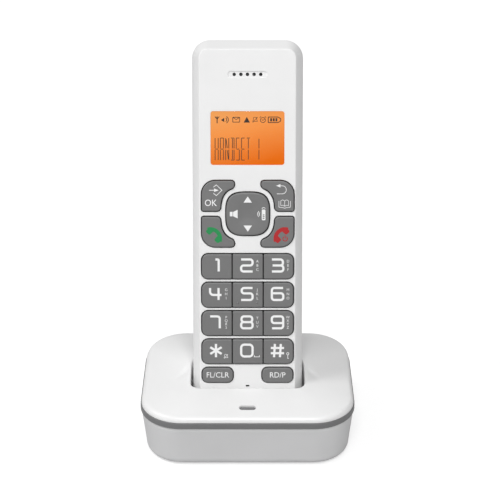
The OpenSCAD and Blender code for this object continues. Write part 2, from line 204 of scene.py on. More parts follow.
def noise(tree, coords, scale, detail=2.0, rough=0.5):
    node = tree.nodes.new("ShaderNodeTexNoise")
    node.inputs["Detail"].default_value = detail
    node.inputs["Roughness"].default_value = rough
    tree.links.new(coords, node.inputs["Vector"])
    if isinstance(scale, (int, float)):
        node.inputs["Scale"].default_value = scale
    else:
        tree.links.new(scale, node.inputs["Scale"])
    return node.outputs["Fac"]


def moulded_grain():
    """Fine spark-eroded grain as a height, and slow clouds of handling as a tone."""
    tree, inputs, outputs = group("moulded grain", [("Grain scale", 2600.0), ("Cloud scale", 45.0)],
                                  ["Height", "Tone"])
    coords = object_coords(tree)
    fine = noise(tree, coords, inputs.outputs["Grain scale"], 3.0)
    cloud = noise(tree, coords, inputs.outputs["Cloud scale"], 4.0)
    tree.links.new(fine, outputs.inputs["Height"])
    tree.links.new(cloud, outputs.inputs["Tone"])
    return tree


def rubbed_edges():
    """A mask of the outer edges, broken up by noise, where fingers polish the plastic."""
    tree, inputs, outputs = group("rubbed edges", [("Start", 0.52), ("End", 0.6)], ["Mask"])
    curve = tree.nodes.new("ShaderNodeNewGeometry").outputs["Pointiness"]
    coords = object_coords(tree)
    patches = noise(tree, coords, 420.0, 3.0)
    edge = tree.nodes.new("ShaderNodeMapRange")
    tree.links.new(curve, edge.inputs["Value"])
    tree.links.new(inputs.outputs["Start"], edge.inputs["From Min"])
    tree.links.new(inputs.outputs["End"], edge.inputs["From Max"])
    broken = tree.nodes.new("ShaderNodeMath")
    broken.operation = "MULTIPLY"
    tree.links.new(edge.outputs["Result"], broken.inputs[0])
    tree.links.new(patches, broken.inputs[1])
    tree.links.new(broken.outputs["Value"], outputs.inputs["Mask"])
    return tree


GRAIN = moulded_grain()
EDGES = rubbed_edges()


# %% Plastics
def plastic(name, colour, rough, grain=0.04, tint=0.03, edge=0.1, grain_scale=2600.0):
    """Moulded plastic: colour clouds, varied gloss, grain in the bump and paler rubbed edges."""
    mat, tree, shader = new_material(name)
    grained = tree.nodes.new("ShaderNodeGroup")
    grained.node_tree = GRAIN
    grained.inputs["Grain scale"].default_value = grain_scale
    rubbed = tree.nodes.new("ShaderNodeGroup")
    rubbed.node_tree = EDGES
    tone = grained.outputs["Tone"]
    pale = [min(1, c + edge * (1 - c)) for c in colour]
    worn = mix(tree, rubbed.outputs["Mask"], colour, pale, shader.inputs["Base Color"])
    mix(tree, tone, [c * (1 - tint) for c in colour], [min(1, c * (1 + tint)) for c in colour], worn.inputs["A"])
    between(tree, tone, rough - 0.04, rough + 0.04, shader.inputs["Roughness"])
    bump = tree.nodes.new("ShaderNodeBump")
    bump.inputs["Strength"].default_value = grain
    bump.inputs["Distance"].default_value = 0.0001
    tree.links.new(grained.outputs["Height"], bump.inputs["Height"])
    tree.links.new(bump.outputs["Normal"], shader.inputs["Normal"])
    return mat


WHITE = plastic("white_abs", (0.80, 0.80, 0.80), 0.36)
# The tub's plastic is the white one darkened: painted shade for its upright sides under the band
TUB_WHITE_PAINTED_SHADE = plastic("tub_abs_painted_shade", (0.62, 0.62, 0.625), 0.42)
BAND_GREY = plastic("band_abs", (0.16, 0.16, 0.163), 0.38, edge=0.05)
KEY_GREY = plastic("key_grey", (0.165, 0.165, 0.165), 0.42, grain=0.08, edge=0.12)

# %% Paper floor
# The paper glows to the camera alone, as a lit backdrop does, so it is white and still bounces little light
PAPER = plastic("paper_floor", (0.6, 0.6, 0.6), 0.95, grain=0.0, tint=0.002, edge=0)
paper = PAPER.node_tree.nodes["Principled BSDF"]
paper.inputs["Emission Color"].default_value = (1, 1, 1, 1)
seen = PAPER.node_tree.nodes.new("ShaderNodeLightPath").outputs["Is Camera Ray"]
between(PAPER.node_tree, seen, 0.0, 0.55, paper.inputs["Emission Strength"])
floor.data.materials.append(PAPER)

# %% [markdown]
# ## Making pieces
# Most shells here are lofts: closed rings of points, each ring pulled from the last by an edge extrude and
# then laid on its own rounded rectangle. It keeps every surface smooth and every wall closed. Flat things,
# such as keys and windows, start as one rectangle with bevelled corners, and grow by insets and extrudes.

# %% Rings
SIDE, ARC = 18, 14                        # points along a side and round a corner


def polar(r, degrees):
    a = math.radians(degrees)
    return r * Vector((math.cos(a), math.sin(a)))


def outline(left, right, low, high, r_low, r_high):
    """Points round a rectangle with round corners; low and high corners may differ."""
    points = []
    corners = [(right - r_low, low + r_low, r_low, -90), (right - r_high, high - r_high, r_high, 0),
               (left + r_high, high - r_high, r_high, 90), (left + r_low, low + r_low, r_low, 180)]
    for n, (x, y, r, start) in enumerate(corners):
        last_x, last_y, last_r, last_start = corners[n - 1]
        leave = Vector((last_x, last_y)) + polar(last_r, last_start + 90)
        reach = Vector((x, y)) + polar(r, start)
        points += [leave.lerp(reach, k / SIDE) for k in range(SIDE)]
        points += [Vector((x, y)) + polar(r, start + 90 * k / ARC) for k in range(ARC)]
    return points


def ring(points, height):
    """A ring of points at one height, or at a height that a function gives for each point."""
    return [Vector((p.x, p.y, height(p) if callable(height) else height)) for p in points]


def loft(bm, rings, cap_first=False, cap_last=False):
    """Lays an edge loop on the first ring and extrudes it from ring to ring."""
    step = bm.verts.layers.int.get("step") or bm.verts.layers.int.new("step")
    made = bmesh.ops.create_circle(bm, cap_ends=False, segments=len(rings[0]), radius=1)["verts"]
    for n, v in enumerate(made):
        v[step] = n
        v.co = rings[0][n]
    edges = list({e for v in made for e in v.link_edges})
    first = edges
    for points in rings[1:]:
        geom = bmesh.ops.extrude_edge_only(bm, edges=edges)["geom"]
        for v in geom:
            if isinstance(v, bmesh.types.BMVert):
                v.co = points[v[step]]
        edges = [e for e in geom if isinstance(e, bmesh.types.BMEdge)]
    for ends, cap in ((first, cap_first), (edges, cap_last)):
        if cap:
            bmesh.ops.contextual_create(bm, geom=ends)
    return first, edges


# %% Finishing a piece
def make(name, bm, place, body, materials, replaced=(), smooth=35):
    """Turns a bmesh drawn in millimetres into a piece of the phone."""
    bmesh.ops.remove_doubles(bm, verts=bm.verts, dist=0.002)
    bmesh.ops.recalc_face_normals(bm, faces=bm.faces)
    bmesh.ops.transform(bm, matrix=place, verts=bm.verts)
    mesh = to_mesh(bm, name)
    mesh.shade_smooth()
    mesh.set_sharp_from_angle(angle=math.radians(smooth))
    piece = place_object(name, mesh)
    for mat in materials:
        mesh.materials.append(mat)
    if body:
        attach(piece, body)
        if replaced:
            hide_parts(*replaced)
    return piece


def carve(piece, cutter, operation="DIFFERENCE", smooth=35):
    """Cuts with, joins to or keeps what is inside a cutter, which is then thrown away."""
    change = piece.modifiers.new("carve", "BOOLEAN")
    change.object = cutter
    change.operation = operation
    change.solver = "EXACT"
    bake_modifiers(piece)
    piece.data.set_sharp_from_angle(angle=math.radians(smooth))
    bpy.data.objects.remove(cutter)


def bake_modifiers(piece):
    bpy.context.view_layer.update()
    graph = bpy.context.evaluated_depsgraph_get()
    mesh = bpy.data.meshes.new_from_object(piece.evaluated_get(graph), preserve_all_data_layers=True,
                                           depsgraph=graph)
    piece.modifiers.clear()
    old = piece.data
    piece.data = mesh
    bpy.data.meshes.remove(old)


def block(bm, low, high):
    """A box between two corners."""
    made = bmesh.ops.create_cube(bm, size=1)["verts"]
    low, high = Vector(low), Vector(high)
    bmesh.ops.scale(bm, vec=high - low, verts=made)
    bmesh.ops.translate(bm, vec=(low + high) / 2, verts=made)
    return made


def rod(bm, foot, radius, length, steps=32):
    """A round bar that stands on foot along z."""
    made = bmesh.ops.create_cone(bm, cap_ends=True, segments=steps, radius1=radius, radius2=radius,
                                 depth=length)["verts"]
    bmesh.ops.translate(bm, vec=Vector(foot) + Vector((0, 0, length / 2)), verts=made)


# %% [markdown]
# ## The base
# The top is one white moulding: a soft shoulder above the band, a gentle dome, and a pocket whose walls
# follow the leaning handset. A raised lip runs round the pocket, with a shallow scoop for the fingers on
# each side. The loft starts on the pocket's floor, climbs over the lip, runs out to the rim, turns inward
# and comes back under the dome, so the moulding is one closed wall of even thickness.

# %% Base top shell
LIP_R = 0.8
SHOULDER_R = 2.5
SHOULDER_TURN = 77                        # degrees of round before the dome takes over
TOP_INSET = 0.45                          # the mouldings stand this far inside the band
LIP_INSET = 1.9                           # how far the mouldings reach in under the band
POCKET_HALF, POCKET_GAP = 25.3, 0.55


def ease(t):
    return t * t * (3 - 2 * t)


def pocket_outline(grow):
    """The pocket's section across the handset: x across, y depth behind the face."""
    half, gap = POCKET_HALF + grow, POCKET_GAP + grow
    return outline(-half, half, -gap, HANDSET_T + gap, 4.5 + grow, 12.0 + grow)


def lip_height(depth):
    return POCKET_Z + 3.2 * ease(min(1, max(0, depth / 24)))


def pocket_ring(grow, below, along=None):
    """A ring of the pocket in the frame of the base, below the lip, or at one place along the handset."""
    points = []
    for p in pocket_outline(grow):
        s = along
        if s is None:
            s = (lip_height(p.y) - below - DOCK.z + p.y * math.sin(LEAN)) / math.cos(LEAN)
        points.append(Vector((p.x, DOCK.y + p.y * math.cos(LEAN) + s * math.sin(LEAN),
                              DOCK.z - p.y * math.sin(LEAN) + s * math.cos(LEAN))))
    return points


def rim_outline(inset):
    half_w, half_d, r = BAND_W / 2 - inset, BAND_D / 2 - inset, BASE_R - inset
    return outline(-half_w, half_w, -half_d, half_d, r, r)


def shoulder_height(y):
    return 26.2 + 2.4 * (y / BAND_D + 0.5)


def scoop(p):
    """The finger scoops beside the pocket: each drops from a slanting bank and runs out towards the front."""
    start, end = Vector((24.2, 3.0)), Vector((32.0, -7.0))
    way = end - start
    from_start = Vector((abs(p.x), p.y)) - start
    t = from_start.dot(way) / way.length_squared
    inward = from_start.dot(Vector((way.y, -way.x))) / way.length
    drop = ease(min(1, max(0, inward / 1.7))) * math.exp(-(max(0, inward - 1.7) / 3.2) ** 2)
    return -1.7 * drop * math.exp(-((t - 0.5) / 0.42) ** 2)


def dome_rings(count, drop=0.0):
    """Rings from the shoulder to the lip; drop lowers them to make the underside."""
    outer = rim_outline(TOP_INSET + SHOULDER_R * 0.8 + drop)
    inner = pocket_ring(LIP_R + drop * 0.5, drop)
    rings = []
    for n in range(count + 1):
        t = n / count
        points = []
        for a, b in zip(outer, inner):
            flat = Vector((a.x, a.y)).lerp(Vector((b.x, b.y)), t)
            rise = t * (1.18 - 0.18 * t)
            height = (shoulder_height(a.y) - drop) * (1 - rise) + b.z * rise
            if not drop:
                height += scoop(flat) * ease(min(1, t * 1.6)) * (1 - t ** 6)
            points.append(Vector((flat.x, flat.y, height)))
        rings.append(points)
    return rings


def shoulder_rings(count):
    """A round that climbs from the upright rim to the dome."""
    rings = []
    foot, whole = BAND_TOP + 0.45, math.radians(SHOULDER_TURN)
    for n in range(count):
        turn = whole * n / count
        flat = rim_outline(TOP_INSET + SHOULDER_R * (1 - math.cos(turn)))
        climb = math.sin(turn) / math.sin(whole)
        rings.append(ring(flat, lambda p: foot + (shoulder_height(p.y) - foot) * climb))
    return rings


def base_top_shell():
    bm = bmesh.new()
    rings = [pocket_ring(-1.2, 0, -0.5), pocket_ring(-0.5, 0, -0.5), pocket_ring(-0.15, 0, -0.35),
             pocket_ring(0, 0, 0.1)]
    rings += [pocket_ring(0, 0, s) for s in (3, 6, 9)]
    for n in range(6):
        turn = math.radians(90) * n / 5
        rings.append(pocket_ring(LIP_R * (1 - math.cos(turn)), LIP_R * (1 - math.sin(turn))))
    rings += dome_rings(26)[-2::-1]
    rings += shoulder_rings(9)[::-1]
    rings.append(ring(rim_outline(TOP_INSET), BAND_TOP + 0.15))
    rings.append(ring(rim_outline(TOP_INSET + 0.12), BAND_TOP + 0.05))
    rings.append(ring(rim_outline(TOP_INSET + LIP_INSET), BAND_TOP + 0.05))
    rings += dome_rings(8, 2.0)
    rings += [pocket_ring(1.8, 0, s) for s in (9, 3, -2.2)]
    rings.append(pocket_ring(1.2, 0, -2.5))
    loft(bm, rings, True, True)
    return make("base_top_shell", bm, BASE, "base", [WHITE], ["base_top_shell"], 50)


top_shell = base_top_shell()


# %% Band and tub
def trim_band():
    """A grey ring with its edges broken."""
    bm = bmesh.new()
    h = BAND_TOP - BAND_LOW
    profile = [(2.0, 0), (0.25, 0), (0.06, 0.09), (0, 0.3), (0, 0.7), (0, h - 0.7), (0, h - 0.3),
               (0.06, h - 0.09), (0.25, h), (2.0, h), (2.0, 0)]
    loft(bm, [ring(rim_outline(inset), BAND_LOW + up) for inset, up in profile])
    return make("trim_band", bm, BASE, "base", [BAND_GREY], ["trim_band"])


TUB_LOW, TUB_R, TUB_TAPER = 0.6, 3.8, 1.75


def tub_inset(z):
    """How far the tub stands inside the band at a height: a straight taper into a round bottom edge."""
    knee = TUB_LOW + TUB_R
    if z >= knee:
        return TOP_INSET + TUB_TAPER * (BAND_LOW - z) / (BAND_LOW - TUB_LOW - TUB_R)
    return TOP_INSET + TUB_TAPER + TUB_R * (1 - math.sqrt(max(0, 1 - ((knee - z) / TUB_R) ** 2)))


def base_tub():
    bm = bmesh.new()
    heights = [TUB_LOW + TUB_R * (1 - math.cos(math.radians(90) * n / 9)) for n in range(10)]
    heights += [TUB_LOW + TUB_R + (BAND_LOW - TUB_LOW - TUB_R - 0.2) * n / 8 for n in range(1, 9)]
    rings = [ring(rim_outline(inset), TUB_LOW) for inset in (14, 7.5)]
    rings += [ring(rim_outline(tub_inset(z)), z) for z in heights]
    rings += [ring(rim_outline(TOP_INSET + inset), BAND_LOW - 0.05) for inset in (0.12, LIP_INSET)]
    rings += [ring(rim_outline(tub_inset(z) + 2.0), z) for z in (16, 8, 5)]
    rings += [ring(rim_outline(7), 2.9), ring(rim_outline(14), 2.6)]
    loft(bm, rings, True, True)
    return make("base_tub", bm, BASE, "base", [TUB_WHITE_PAINTED_SHADE], ["base_tub"], 40)


band = trim_band()
tub = base_tub()

# %% [markdown]
# ## The handset's front shell
# The front shell is a flat face with sloped bands that run out to the parting line, and it is pierced by
# windows for the keys, the pad and the display. A Boolean would leave ragged rims, so each opening is grown
# instead: its outline is a flat face with bevelled corners, insets roll its rim over, and an extrude makes
# its walls. One triangle fill then joins all the openings to the edge of the face, outside and inside.


# %% Flat faces, rims and walls
def face_up(face):
    face.normal_update()
    if face.normal.z < 0:
        face.normal_flip()
    return face


def panel(bm, corners, radii, height=0.0, steps=8):
    """A flat face whose corners are rounded by vertex bevels, with one radius each."""
    kept = set(bm.faces)
    verts = [bm.verts.new((x, y, height)) for x, y in corners]
    bm.faces.new(verts)
    for vert, r in zip(verts, radii):
        if r:
            bmesh.ops.bevel(bm, geom=[vert], offset=r, offset_type="OFFSET", affect="VERTICES",
                            segments=steps, profile=0.5, material=-1, clamp_overlap=False)
    return face_up(next(f for f in bm.faces if f not in kept))


def pill_panel(bm, middle, size, height=0.0, steps=32):
    """A flat pill: a circle whose halves are drawn apart."""
    (x, y), (w, h) = middle, size
    verts = bmesh.ops.create_circle(bm, cap_ends=True, segments=steps, radius=min(w, h) / 2,
                                    matrix=Matrix.Rotation(math.pi / steps, 4, "Z"))["verts"]
    for v in verts:
        v.co.x += x + math.copysign(max(0, w - h) / 2, v.co.x)
        v.co.y += y + math.copysign(max(0, h - w) / 2, v.co.y)
        v.co.z = height
    return face_up(verts[0].link_faces[0])


def disc_panel(bm, middle, r, height=0.0, steps=48):
    verts = bmesh.ops.create_circle(bm, cap_ends=True, segments=steps, radius=r,
                                    matrix=Matrix.Translation((*middle, height)))["verts"]
    return face_up(verts[0].link_faces[0])


def box_panel(bm, middle, size, r, height=0.0, steps=8):
    """A rectangle with round corners; r is one radius, or four from the low left one round."""
    (x, y), (w, h) = middle, size
    corners = [(x - w / 2, y - h / 2), (x + w / 2, y - h / 2), (x + w / 2, y + h / 2), (x - w / 2, y + h / 2)]
    return panel(bm, corners, r if isinstance(r, (list, tuple)) else [r] * 4, height, steps)


def inset(bm, face, inward, up=0.0):
    """Insets a face and returns the free edges round it, if it stands alone."""
    ring_faces = bmesh.ops.inset_region(bm, faces=[face], thickness=inward, depth=up, use_boundary=True,
                                        use_even_offset=True)["faces"]
    return [e for f in ring_faces for e in f.edges if len(e.link_faces) == 1]


def roll(bm, face, r, down, steps=4):
    """Rolls the rim of a face over a quarter round: down into an opening, or up over the top of a key."""
    for n in range(steps):
        a, b = (math.radians(90) * k / steps for k in (n, n + 1))
        if down:
            inset(bm, face, r * (math.sin(b) - math.sin(a)), -r * (math.cos(a) - math.cos(b)))
        else:
            inset(bm, face, r * (math.cos(a) - math.cos(b)), r * (math.sin(b) - math.sin(a)))


def pull(bm, face, way, keep=False):
    """Extrudes a face along z and returns the new face."""
    geom = bmesh.ops.extrude_face_region(bm, geom=[face], use_keep_orig=True)["geom"]
    bmesh.ops.translate(bm, vec=(0, 0, way), verts=[v for v in geom if isinstance(v, bmesh.types.BMVert)])
    if not keep:
        bmesh.ops.delete(bm, geom=[face], context="FACES_ONLY")
    moved = next(f for f in geom if isinstance(f, bmesh.types.BMFace))
    return face_up(moved)


RIM, FLAT = 0.2, 0.04                     # rounding round an opening, and a flat strip that keeps its shading


def opening(bm, face, depth=WALL, rim=RIM):
    """Walls and a rounded rim from a face that is larger than the opening by rim and FLAT."""
    upper = inset(bm, face, FLAT)
    roll(bm, face, rim, True)
    face = pull(bm, face, rim - depth)
    lower = list(face.edges)
    bmesh.ops.delete(bm, geom=[face], context="FACES_ONLY")
    return upper, lower


def fill(bm, edges, up):
    made = bmesh.ops.triangle_fill(bm, use_beauty=True, use_dissolve=False, edges=edges)["geom"]
    for f in made:
        if isinstance(f, bmesh.types.BMFace) and f.normal.z * up < 0:
            f.normal_flip()


def bend(a, b, c, steps):
    """Rings that round a corner b between two rings a and c."""
    return [[p.lerp(q, k / steps).lerp(q.lerp(r, k / steps), k / steps) for p, q, r in zip(a, b, c)]
            for k in range(steps + 1)]


# %% Keypad plan: millimetres on the face, x across and y up the handset
ROW_PITCH, KEY_H = 12.6, 10.85
ROW_1 = SUNK + 53.8
COLUMNS = [(-19.95, -6.9), (-6.5, 6.7), (7.1, 20.0)]
KEY_R = 2.7                               # outer corners of a row of keys
KEY_GAP = 0.44
SIDE_WALL = 1.2                           # thinner than the face, so the keys clear it
PROUD = 0.7                               # keys stand this far out of the face
NAV = Vector((0.1, SUNK + 76.85))
NAV_HALF, NAV_BITE, NAV_POWER = 9.4, 11.9, 3.1
WINDOW = (0, SUNK + 109.75)
WINDOW_SIZE = (31.8, 23.1)
EAR_Y = SUNK + 137.2
MIC_Y = SUNK + 0.5
LOWER_KEY = (13.2, SUNK + 5.45)


def nav_reach(half, a):
    """How far the pad's outline is from its middle in the direction a: a circle pressed towards a square."""
    return half / (abs(math.cos(a)) ** NAV_POWER + abs(math.sin(a)) ** NAV_POWER) ** (1 / NAV_POWER)


def corner_key_panel(bm, sx, sy, grow, height=0.0):
    """One of the keys round the pad: a rounded rectangle with a bite that follows the pad's outline."""
    r = NAV_BITE - grow
    near, inner, outer, far = 1.25 - grow, 5.9 - grow, 20 + grow, 14.45 + grow
    first = math.atan2((r ** NAV_POWER - inner ** NAV_POWER) ** (1 / NAV_POWER), inner)
    last = math.atan2(near, (r ** NAV_POWER - near ** NAV_POWER) ** (1 / NAV_POWER))
    span_first, span_last = first - 1.8 / r, last + 2.4 / r
    turns = [first] + [span_first + (span_last - span_first) * k / 12 for k in range(13)] + [last]
    corners = [(outer, near), (outer, far), (inner, far)]
    corners += [(nav_reach(r, a) * math.cos(a), nav_reach(r, a) * math.sin(a)) for a in turns]
    radii = [0.8 + grow, 5.8 + grow, 1.2 + grow, 1.2 + grow] + [0] * 13 + [1.6 + grow]
    return panel(bm, [(NAV.x + sx * x, NAV.y + sy * y) for x, y in corners], radii, height)


def nav_panel(bm, grow, height=0.0):
    """The pad's outline, larger by grow."""
    verts = bmesh.ops.create_circle(bm, cap_ends=True, segments=96, radius=1)["verts"]
    for v in verts:
        a = math.atan2(v.co.y, v.co.x)
        reach = nav_reach(NAV_HALF + grow, a)
        v.co = Vector((NAV.x + math.cos(a) * reach, NAV.y + math.sin(a) * reach, height))
    return face_up(verts[0].link_faces[0])


# %% Front shell
def front_ring(t, inset=0.0, depth=None):
    """A ring of the front shell between the edge of the face (t = 0) and the parting line (t = 1)."""
    half = FACE_W / 2 + (HANDSET_W - FACE_W) / 2 * t * (1.35 - 0.35 * t) - inset
    low = 0.8 * (1 - t) + inset
    high = FACE_TOP + (HANDSET_L - FACE_TOP) * t - inset
    points = outline(-half, half, low, high, 5 + 2 * t - inset, 4 + 4 * t - inset)
    return ring(points, -(PARTING - 0.08) * t if depth is None else -depth)


def front_shell():
    bm = bmesh.new()
    around = RIM + FLAT
    rings = [front_ring(0, 0.3)] + bend(front_ring(0, 0.26), front_ring(0), front_ring(0.035), 4)
    rings += [front_ring(t) for t in (0.08, 0.15, 0.3, 0.45, 0.6, 0.75, 0.88, 0.95)]
    rings += bend(front_ring(0.975), front_ring(1), front_ring(1, 0.22), 3)
    rings += [front_ring(1, SIDE_WALL), front_ring(0.5, SIDE_WALL), front_ring(WALL / PARTING, SIDE_WALL)]
    rings[-1] = ring(rings[-1], -WALL)
    outer, inner = loft(bm, rings)
    starts = [box_panel(bm, ((COLUMNS[0][0] + COLUMNS[2][1]) / 2, ROW_1 - row * ROW_PITCH),
                        (COLUMNS[2][1] - COLUMNS[0][0] + 2 * (KEY_GAP + around),
                         KEY_H + 2 * (KEY_GAP + around)), KEY_R + KEY_GAP + around) for row in range(4)]
    starts += [corner_key_panel(bm, sx, sy, KEY_GAP + around) for sx in (-1, 1) for sy in (-1, 1)]
    starts += [box_panel(bm, (s * LOWER_KEY[0], LOWER_KEY[1]),
                         [side + 2 * (KEY_GAP + around) for side in (13.4, 6.5)],
                         2.4 + KEY_GAP + around) for s in (-1, 1)]
    starts.append(nav_panel(bm, KEY_GAP + around))
    starts.append(box_panel(bm, WINDOW, [side + 0.2 + 2 * around for side in WINDOW_SIZE], 1.1 + around))
    starts.append(pill_panel(bm, (0, MIC_Y), (1.7 + 0.2, 0.9 + 0.2), steps=16))
    for n, face in enumerate(starts):
        upper, lower = opening(bm, face, rim=0.06 if n == len(starts) - 1 else RIM)
        outer += upper
        inner += lower
    # The ear recess: a shallow pill with five round holes in its floor
    recess = pill_panel(bm, (0, EAR_Y), (17.1 + 0.5, 2.6 + 0.5))
    outer += inset(bm, recess, 0.05)
    roll(bm, recess, 0.2, True)
    recess = pull(bm, recess, -0.15)
    inset(bm, recess, 0.08)
    floor_edges = list(recess.edges)
    bmesh.ops.delete(bm, geom=[recess], context="FACES_ONLY")
    for k in range(-2, 3):
        upper, lower = opening(bm, disc_panel(bm, (k * 2.86, EAR_Y), 0.85, -0.35, 24), WALL - 0.35, 0.06)
        floor_edges += upper
        inner += lower
    fill(bm, floor_edges, 1)
    fill(bm, outer, 1)
    fill(bm, inner, -1)
    return make("handset_front_shell", bm, FACE, "handset", [WHITE], ["handset_front_shell"], 40)


shell_front = front_shell()
print("front shell faces:", len(shell_front.data.polygons))

# %% [markdown]
# ## The handset's rear shell and battery door
# The back is rounded like a bar of soap. One set of rings, drawn in by an inset, gives its outside and its
# inside, and the battery door is a loft whose rings lie on the same curve, so that it always matches. The
# recess, the bay, the sound slots and the screw holes are cut out of the finished wall with Booleans.

# %% Form of the back
BACK_R, TOP_R, LOW_R = 11.0, 9.0, 7.0     # roundings of the sides, the top and the bottom
DOOR_HALF, DOOR_LOW, DOOR_HIGH, DOOR_T = 15.0, 36.0, 100.0, 1.7
BAY_HALF, BAY_LOW, BAY_HIGH, BAY_FLOOR = 12.3, 42.0, 94.0, 10.5
RINGER_Y = 124.0
SCREW_X, SCREW_Y = 13.0, 24.0
PAD_X, PAD_DEPTH = 8.0, 10.0


def back_depth(y):
    """Thickness of the handset along its length: it thins towards the top."""
    t = min(1, max(0, (y - 105) / 55))
    return HANDSET_T - 2.2 * t * (0.6 + 0.4 * t)


def back_ring(turn, inset=0.0, shrink=0.0):
    """A ring of the back: turn rolls it from the sides over to the back, shrink closes it up there."""
    c, s = 1 - math.cos(turn), math.sin(turn)
    half = (HANDSET_W / 2 - BACK_R * c) * (1 - shrink) - inset * math.cos(turn)
    low = LOW_R * c + inset * math.cos(turn) + 80 * shrink
    high = HANDSET_L - TOP_R * c - inset * math.cos(turn) - 80 * shrink
    corner = min(0.9 * half, 8 - 3.5 * c - inset * math.cos(turn))
    points = outline(-half, half, low, high, corner, corner)
    return ring(points, lambda p: -(back_depth(p.y) - (BACK_R - inset) * (1 - s) - inset))


def side_ring(depth, inset=0.0):
    half = HANDSET_W / 2 - inset
    return ring(outline(-half, half, inset, HANDSET_L - inset, 8 - inset, 8 - inset), -depth)


def back_rings(inset=0.0):
    turns = [back_ring(math.radians(90) * k / 10, inset) for k in range(11)]
    closing = [back_ring(math.radians(90), inset, k) for k in (0.12, 0.35, 0.6, 0.8, 0.93, 0.985)]
    return turns + closing


def solid_back(inset=0.0, front=PARTING + 0.5):
    """A closed solid of the back's outer form, for Booleans."""
    bm = bmesh.new()
    loft(bm, [side_ring(front, inset), side_ring(front + 1, inset)] + back_rings(inset), True, True)
    return bm


def tool(name, bm):
    """A cutter for a Boolean, placed with the handset but part of nothing."""
    return make(name, bm, FACE, None, [])


def prism(bm, face, shallow, deep):
    """A block over a flat face, between two depths."""
    bmesh.ops.translate(bm, vec=(0, 0, -deep), verts=face.verts)
    pull(bm, face, deep - shallow, True)


# %% Rear shell
def rear_shell():
    bm = bmesh.new()
    start = PARTING + 0.08
    rings = back_rings(WALL)[::-1] + [side_ring(12, WALL), side_ring(start, WALL), side_ring(start, 0.22)]
    rings += bend(side_ring(start, 0.22), side_ring(start), side_ring(start + 0.22), 3)[1:]
    rings += [side_ring(10), side_ring(12)] + back_rings()
    loft(bm, rings, True, True)
    return make("handset_rear_shell", bm, FACE, "handset", [WHITE], ["handset_rear_shell"], 40)


def battery_block():
    """The walls round the battery bay, shaped to the back."""
    bm = bmesh.new()
    size = (2 * DOOR_HALF + 2.8, DOOR_HIGH - DOOR_LOW + 2.8)
    prism(bm, box_panel(bm, (0, (DOOR_LOW + DOOR_HIGH) / 2), size, 2.4), BAY_FLOOR - 1.2, 40)
    walls = tool("bay_walls", bm)
    carve(walls, tool("bay_form", solid_back(0.5, BAY_FLOOR - 2)), "INTERSECT")
    return walls


def first_cuts():
    """The door's recess, the ringer's slots, the screw heads' wells and the slots for the charging pads."""
    bm = bmesh.new()
    middle = (0, (DOOR_LOW + DOOR_HIGH) / 2)
    size = (2 * DOOR_HALF + 0.4, DOOR_HIGH - DOOR_LOW + 0.4)
    prism(bm, box_panel(bm, middle, size, 1.7), HANDSET_T - DOOR_T - 0.2, 40)
    for k in range(-2, 3):
        prism(bm, pill_panel(bm, (k * 3.2, RINGER_Y), (1.3, 11 - abs(k) * 0.8)), HANDSET_T - 6, 40)
    for s in (-1, 1):
        rod(bm, (s * SCREW_X, SCREW_Y, -45), 2.6, 45 - HANDSET_T + 2, 40)
        block(bm, (s * PAD_X - 2.6, -1, -PAD_DEPTH - 2.2), (s * PAD_X + 2.6, 3, -PAD_DEPTH + 2))
    return tool("first_cuts", bm)


def second_cuts():
    """The battery bay and the screws' shanks."""
    bm = bmesh.new()
    size = (2 * BAY_HALF, BAY_HIGH - BAY_LOW)
    prism(bm, box_panel(bm, (0, (BAY_LOW + BAY_HIGH) / 2), size, 1.2), BAY_FLOOR, 40)
    for s in (-1, 1):
        rod(bm, (s * SCREW_X, SCREW_Y, -45), 1.4, 40, 24)
    return tool("second_cuts", bm)


shell_rear = rear_shell()
carve(shell_rear, battery_block(), "UNION")
carve(shell_rear, first_cuts())
carve(shell_rear, second_cuts(), smooth=40)
print("rear shell faces:", len(shell_rear.data.polygons))


# %% Battery door
def back_surface(p):
    """Depth of the back's outer surface at a point seen from the front."""
    over = max(0, abs(p.x) - (HANDSET_W / 2 - BACK_R))
    return back_depth(p.y) - BACK_R + math.sqrt(BACK_R ** 2 - over ** 2)


def door_ring(inset, above=None, depth=None):
    """A ring of the door, at a depth or some way below the back's surface."""
    half = DOOR_HALF - inset
    r = min(1.5 + 0.2 * inset, 0.9 * half)
    points = outline(-half, half, DOOR_LOW + inset, DOOR_HIGH - inset, r, r)
    return ring(points, -depth if depth else lambda p: -(back_surface(p) - above))


def battery_door():
    """A slice of the same back, with a sliding grip of seven grooves and a thumb arrow."""
    bm = bmesh.new()
    low = HANDSET_T - DOOR_T
    rings = [door_ring(6, depth=low), door_ring(0, depth=low), door_ring(0, 1.0)]
    rings += bend(door_ring(0, 0.3), door_ring(0, 0), door_ring(0.3, 0), 4)
    rings += [door_ring(inset, 0) for inset in (0.4, 1.5, 3, 5, 7, 9, 11, 13, 14.6)]
    loft(bm, rings, True, True)
    door = make("battery_door", bm, FACE, "battery_door", [WHITE], ["battery_door"], 40)
    grooves = bmesh.new()
    for k in range(7):
        size = (16 - 0.8 * abs(k - 3), 0.9)
        prism(grooves, pill_panel(grooves, (0, DOOR_HIGH - 7 - 2.0 * k), size, steps=20), HANDSET_T - 0.5, 40)
    thumb = [(-3.2, DOOR_HIGH - 23.5), (0, DOOR_HIGH - 27), (3.2, DOOR_HIGH - 23.5)]
    prism(grooves, panel(grooves, thumb, [0.5] * 3), HANDSET_T - 0.35, 40)
    carve(door, tool("door_grooves", grooves), smooth=40)
    return door


door = battery_door()
print("battery door faces:", len(door.data.polygons))

# %% [markdown]
# ## Keys
# A key cap is one outline pulled up through its window: the walls are an extrude and the rounded rim is a few
# insets. The print on it is a thin layer of paint, so it is real geometry too. A stroke starts as a chain of
# edges; vertex bevels round its turns, an extrude lifts it into a low fence, and Solidify gives the fence the
# width of the pen. Small letters come from Blender's own font, turned into a mesh.

